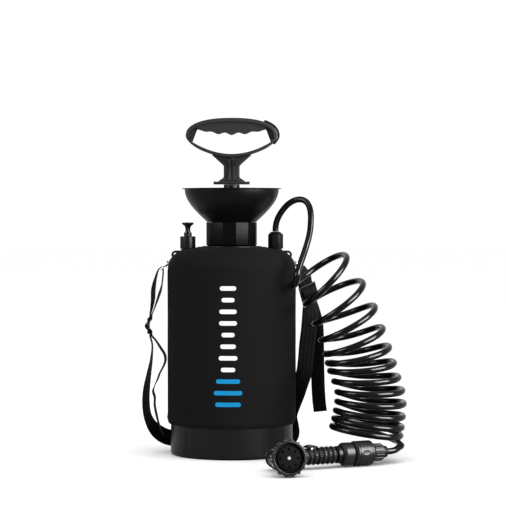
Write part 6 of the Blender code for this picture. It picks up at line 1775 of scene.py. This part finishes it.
# %% Ways round the bars
def through_slider(at, layer):
    """One layer of webbing, upward: behind the outer bars and in front of the middle one."""
    spread = WEBBING_THICKNESS + MM
    swing = BAR / 2 + SEAT_GAP + WEBBING_THICKNESS / 2 + spread / 2
    across = at.to_3x3() @ Vector((1, 0, 0))
    flat = BAR / 2 + SEAT_GAP
    upper = [(0, -1), (flat, -1), (SLIDER_PITCH / 2, 0)]
    upper += [(SLIDER_PITCH + beyond, 1) for beyond in (-flat, flat, 2 * flat)]
    steps = [(-height, wave) for height, wave in upper[:0:-1]] + upper
    return [(at @ Vector((0, layer * spread / 2 + swing * wave, h)), across) for h, wave in steps]


def round_eye(at, first, last, steps=6):
    wrap = wrap_radius(EYE_BAR)
    across = at.to_3x3() @ Vector((1, 0, 0))
    angles = [math.radians(first + (last - first) * k / (steps - 1)) for k in range(steps)]
    return [(at @ Vector((0, wrap * math.cos(a), wrap * math.sin(a))), across) for a in angles]


def sewn_end(side):
    """The strap's end: behind the bracket's bar, round it and back over itself."""
    bar = TANK_RADIUS + BAR / 2 + WEBBING_THICKNESS + STRAP_ROOM
    wrap = wrap_radius(BAR) / MM
    path = [(-19, -1.9), (-11, -2.1), (-5, -2.5)]
    path += [(wrap * math.cos(a), wrap * math.sin(a)) for a in np.radians([-90, -45, 0, 45, 90])]
    path += [(-5, 2.2), (-11, 0.7), (-19, 0.5)]
    points = []
    for along, out in path:
        a = math.radians(90 - side * BRACKET_ANGLE) + side * along * MM / bar
        radius = bar + out * MM
        points.append(((radius * math.cos(a), radius * math.sin(a), SEWN_Z), (0, 0, 1)))
    return points


print("places through a slider:", len(through_slider(LEFT_SLIDER, 1)))

# %% [markdown]
# Between the bars the places come from the picture. The left strap hangs beside the tank, nearly
# edge on above and broad below, and its inner strand is creased. The right strap stands a little
# off the tank, and its broad tail hangs free behind the hose.

# %% Strap routes
along_y, along_x = (0.0, 1.0, 0.0), (-1.0, 0.0, 0.0)
left_route = [
    *sewn_end(-1),
    ((-0.0935, 0.0430, 0.0190), (0.1, 0.1, 1.0)), ((-0.1030, 0.0350, 0.0220), (0.25, 0.25, 0.9)),
    ((-0.1135, 0.0275, 0.0285), (0.42, 0.5, 0.72)), ((-0.1230, 0.0220, 0.0380), (0.45, 0.72, 0.45)),
    ((-0.1305, 0.0180, 0.0530), (0.42, 0.88, 0.15)), ((-0.1340, 0.0150, 0.0760), (0.40, 0.92, 0.0)),
    ((-0.1330, 0.0130, 0.0985), (0.36, 0.93, 0.0)), ((-0.1290, 0.0115, 0.1240), (0.22, 0.97, 0.0)),
    ((-0.1250, 0.0105, 0.1480), (0.08, 1.0, 0.0)), ((-0.1240, 0.0100, 0.1700), along_y),
    *through_slider(LEFT_SLIDER, -1),
    ((-0.1250, 0.0095, 0.2230), (0.08, 1.0, 0.0)), ((-0.1225, 0.0080, 0.2390), (0.18, 1.0, 0.0)),
    ((-0.1216, 0.0050, 0.2560), (0.20, 1.0, 0.0)), ((-0.1180, 0.0020, 0.2730), (0.08, 1.0, 0.0)),
    *round_eye(LEFT_EYE, 188, 37),
    ((-0.1068, 0.0010, 0.2740), along_y), ((-0.1085, 0.0028, 0.2620), along_y),
    ((-0.1116, 0.0050, 0.2500), (0.09, 1.0, 0.0)), ((-0.1155, 0.0075, 0.2380), (0.06, 1.0, 0.0)),
    ((-0.1205, 0.0095, 0.2240), along_y),
    *through_slider(LEFT_SLIDER, 1)[::-1],
    ((-0.1190, 0.0100, 0.1760), along_y), ((-0.1112, 0.0100, 0.1640), (0.05, 1.0, 0.0)),
    ((-0.1040, 0.0100, 0.1515), (0.07, 1.0, 0.0)), ((-0.1034, 0.0100, 0.1430), (0.08, 1.0, 0.0)),
    ((-0.1064, 0.0100, 0.1345), (0.08, 1.0, 0.0)), ((-0.1120, 0.0100, 0.1240), (0.07, 1.0, 0.0)),
    ((-0.1160, 0.0100, 0.1130), (0.05, 1.0, 0.0)), ((-0.1200, 0.0100, 0.1045), along_y),
    ((-0.1226, 0.0100, 0.0965), (0.05, 1.0, 0.0)), ((-0.1200, 0.0100, 0.0865), (0.05, 1.0, 0.0)),
    ((-0.1202, 0.0100, 0.0765), (0.05, 1.0, 0.0)), ((-0.1170, 0.0100, 0.0580), (0.04, 1.0, 0.0)),
    ((-0.1130, 0.0080, 0.0430), along_y), ((-0.1066, 0.0060, 0.0280), along_y),
]
right_route = [
    *sewn_end(1),
    ((0.0910, 0.0475, 0.0192), (-0.15, 0.1, 0.98)), ((0.0945, 0.0475, 0.0255), (-0.35, 0.35, 0.87)),
    ((0.0955, 0.0500, 0.0370), (-0.6, 0.6, 0.5)), ((0.0950, 0.0520, 0.0540), (-0.6, 0.78, 0.15)),
    ((0.0985, 0.0470, 0.0740), (-0.75, 0.6, 0.0)), ((0.1035, 0.0395, 0.0910), (-0.88, 0.42, 0.0)),
    ((0.1078, 0.0340, 0.1060), (-0.95, 0.28, 0.0)), ((0.1130, 0.0290, 0.1230), (-1.0, 0.1, 0.0)),
    ((0.1155, 0.0260, 0.1420), along_x), ((0.1175, 0.0230, 0.1666), along_x),
    ((0.1205, 0.0195, 0.1930), along_x), ((0.1220, 0.0160, 0.2180), (-1.0, -0.2, 0.0)),
    *through_slider(RIGHT_SLIDER, -1),
    ((0.1130, 0.0035, 0.2735), (-0.7, -0.7, 0.0)),
    *round_eye(RIGHT_EYE, 201, 21),
    ((0.1095, 0.0085, 0.2715), (-0.7, -0.7, 0.0)),
    *through_slider(RIGHT_SLIDER, 1)[::-1],
    ((0.1255, 0.0230, 0.2190), (-1.0, 0.0, 0.0)), ((0.1300, 0.0255, 0.2050), (-0.95, 0.3, 0.0)),
    ((0.1328, 0.0265, 0.1880), (-0.85, 0.52, 0.0)), ((0.1336, 0.0275, 0.1680), (-0.82, 0.57, 0.0)),
    ((0.1340, 0.0290, 0.1420), (-0.82, 0.57, 0.0)), ((0.1346, 0.0300, 0.1170), (-0.82, 0.57, 0.0)),
    ((0.1356, 0.0305, 0.0920), (-0.82, 0.57, 0.0)), ((0.1370, 0.0300, 0.0740), (-0.82, 0.57, 0.0)),
    ((0.1386, 0.0295, 0.0620), (-0.82, 0.57, 0.0)),
]
for name, route in (("left", left_route), ("right", right_route)):
    print(f"{name} strap: {run_along([place[:] for place, _ in route])[-1]:.3f} m of webbing")

# %% [markdown]
# The webbing is swept along its route as a flat band with soft edges. A curve could be given a
# flat section too, but it would choose its own twist; here the width's direction is given at each
# place, and place and direction are smoothed together. The flat map runs across and along the
# tape, so that the weave follows every turn.


# %% Webbing band
def smooth_route(route, step=3 * MM):
    """Rows of place and width direction, close together, with the directions all on one side."""
    rows = [[*place, *across] for place, across in route]
    for before, row in zip(rows, rows[1:]):
        if np.dot(before[3:], row[3:]) < 0:
            row[3:] = [-v for v in row[3:]]
    rows = np.array(rows, float)
    at = run_along(rows)
    where = [
        np.linspace(a, b, max(1, math.ceil((b - a) / step)), endpoint=False)
        for a, b in zip(at, at[1:])
    ]
    return through(at, rows, np.concatenate([*where, at[-1:]]))


def band_section():
    half, thick, soft = WEBBING_WIDTH / 2, WEBBING_THICKNESS / 2, 0.35 * MM
    edge = [(-half, 0.0), (-half + 0.1 * MM, -soft), (-half + 0.6 * MM, -thick)]
    lower = [*edge, (-half / 2, -thick), (0.0, -thick)]
    lower += [(-x, z) for x, z in lower[-2::-1]]
    return lower + [(x, -z) for x, z in lower[-2:0:-1]]


def webbing_band(route):
    rows, section = smooth_route(route), band_section()
    at = run_along(rows)
    ahead = np.diff(rows[:, :3], axis=0)
    ahead /= np.linalg.norm(ahead, axis=1)[:, None]
    along = np.vstack([ahead[:1], ahead[1:] + ahead[:-1], ahead[-1:]])
    bm = bmesh.new()
    layer = bm.loops.layers.uv.new("flat")
    rings = []
    for place, forward, across in zip(rows[:, :3], along, rows[:, 3:]):
        forward, across = Vector(forward).normalized(), Vector(across)
        across = (across - forward * across.dot(forward)).normalized()
        normal = forward.cross(across)
        rings.append([bm.verts.new(Vector(place) + across * x + normal * z) for x, z in section])
    count = len(section)
    for i, (a, b) in enumerate(zip(rings, rings[1:])):
        for k in range(count):
            j = (k + 1) % count
            face = bm.faces.new((a[k], a[j], b[j], b[k]))
            corners = zip(face.loops, (k, j, j, k), (at[i], at[i], at[i + 1], at[i + 1]))
            for loop, which, v in corners:
                loop[layer].uv = (section[which][0], v)
    for ring in (rings[0], rings[-1]):
        bm.faces.new(ring)
    return clean(bm)


band_meshes = {"left": webbing_band(left_route), "right": webbing_band(right_route)}
print("bands:", [len(mesh.polygons) for mesh in band_meshes.values()], "faces")

# %% [markdown]
# Strap webbing is polyester: chevrons of ribs down the middle and a tight, smooth selvedge on
# both sides. A triangle wave across the tape leans the ribs one way and then the other, which is
# all that a chevron is.

# %% Webbing finish
CHEVRON, RIB_PITCH, YARN_PITCH, EDGE_PITCH = 6.0 * MM, 1.25 * MM, 0.62 * MM, 0.9 * MM


def waves(along, pitch):
    return (along * (2 * math.pi / pitch)).sine()


def webbing():
    finish = Finish("webbing", (0.0035, 0.0035, 0.0037), 0.62, {"Specular IOR Level": 0.04})
    flat = finish.map()
    across, along = finish.axis(flat, "X"), finish.axis(flat, "Y")
    chevrons = across / CHEVRON
    lean = abs(chevrons - chevrons.floor() - 0.5) * CHEVRON
    rib = waves(along + lean * 1.4, RIB_PITCH) * 0.5 + 0.5
    yarn = waves(across, YARN_PITCH) * 0.5 + 0.5
    edge = abs(across).step(11.0 * MM, 11.3 * MM)
    weave = rib * (1 - edge) * 0.7 + yarn * 0.3 + edge * waves(along, EDGE_PITCH) * 0.15
    fuzz = finish.grain(1800.0, 3.0, flat)
    worn = finish.grain(60.0, 4.0, flat).step(0.5, 0.75)
    tint = rib * 0.25 + fuzz.step(0.6, 0.8) * 0.35 + worn * 0.2
    finish.colour(finish.blend(tint, (0.0025, 0.0025, 0.0027), (0.011, 0.011, 0.012)))
    finish.rough(0.70 - rib * 0.12 + fuzz * 0.1)
    finish.relief(weave + fuzz * 0.15, 0.28 * MM)
    return finish.material


LOOKS["webbing"] = webbing()
for side, mesh in band_meshes.items():
    piece(f"{side}_band", mesh, "webbing", [f"{side}_strap"])
print("webbing:", len(LOOKS["webbing"].node_tree.nodes), "nodes")

# %% [markdown]
# ## What only shows in motion
# When the pump is lifted out or the handset is pulled, its inner pieces come into view: gaskets,
# piston, valves and pins. Their solids are good as they are, so they stay, and only get the
# finish of what they are made of.

# %% Inner pieces
INNER = {
    "black_rubber": (
        "pump_gasket", "piston_cup", "relief_gasket", "relief_seal", "hose_gasket", "spigot_seal",
    ),
    "fitting_plastic": ("foot_valve_seat", "piston", "pump_rod", "hose_barb"),
    "pale_plastic": ("pump_cylinder", "dip_tube", "dip_filter"),
    "bright_steel": ("relief_spring", "lever_pin"),
    "red_rubber": ("foot_valve_flap",),
}
for finish, nodes in INNER.items():
    for node in nodes:
        painted(frame["nodes"][node].data, finish)
print("inner pieces:", sum(len(nodes) for nodes in INNER.values()))

# %% [markdown]
# ## The hose's length
# A hose isn't a shape but a length: it has to be as long as the real one and leave the nut where
# the real one does.

# %% [markdown]
# ## Floor
# The floor is a wide sheet of pale paper without gloss, so it takes the soft shadow and shows
# nothing else.

# %% Floor
GROUND_HALF = 20.0
bm = bmesh.new()
bmesh.ops.create_grid(bm, x_segments=1, y_segments=1, size=GROUND_HALF)
ground = as_object("ground", clean(bm))
paper = Finish("paper", (0.94, 0.94, 0.94), 0.9, {"Specular IOR Level": 0.0})
fleck = paper.grain(60.0, 3.0)
paper.colour(paper.blend(fleck * 0.3, (0.95, 0.95, 0.95), (0.93, 0.93, 0.93)))
ground.data.materials.append(paper.material)
print(f"floor: {2 * GROUND_HALF:.0f} m across")

# %% [markdown]
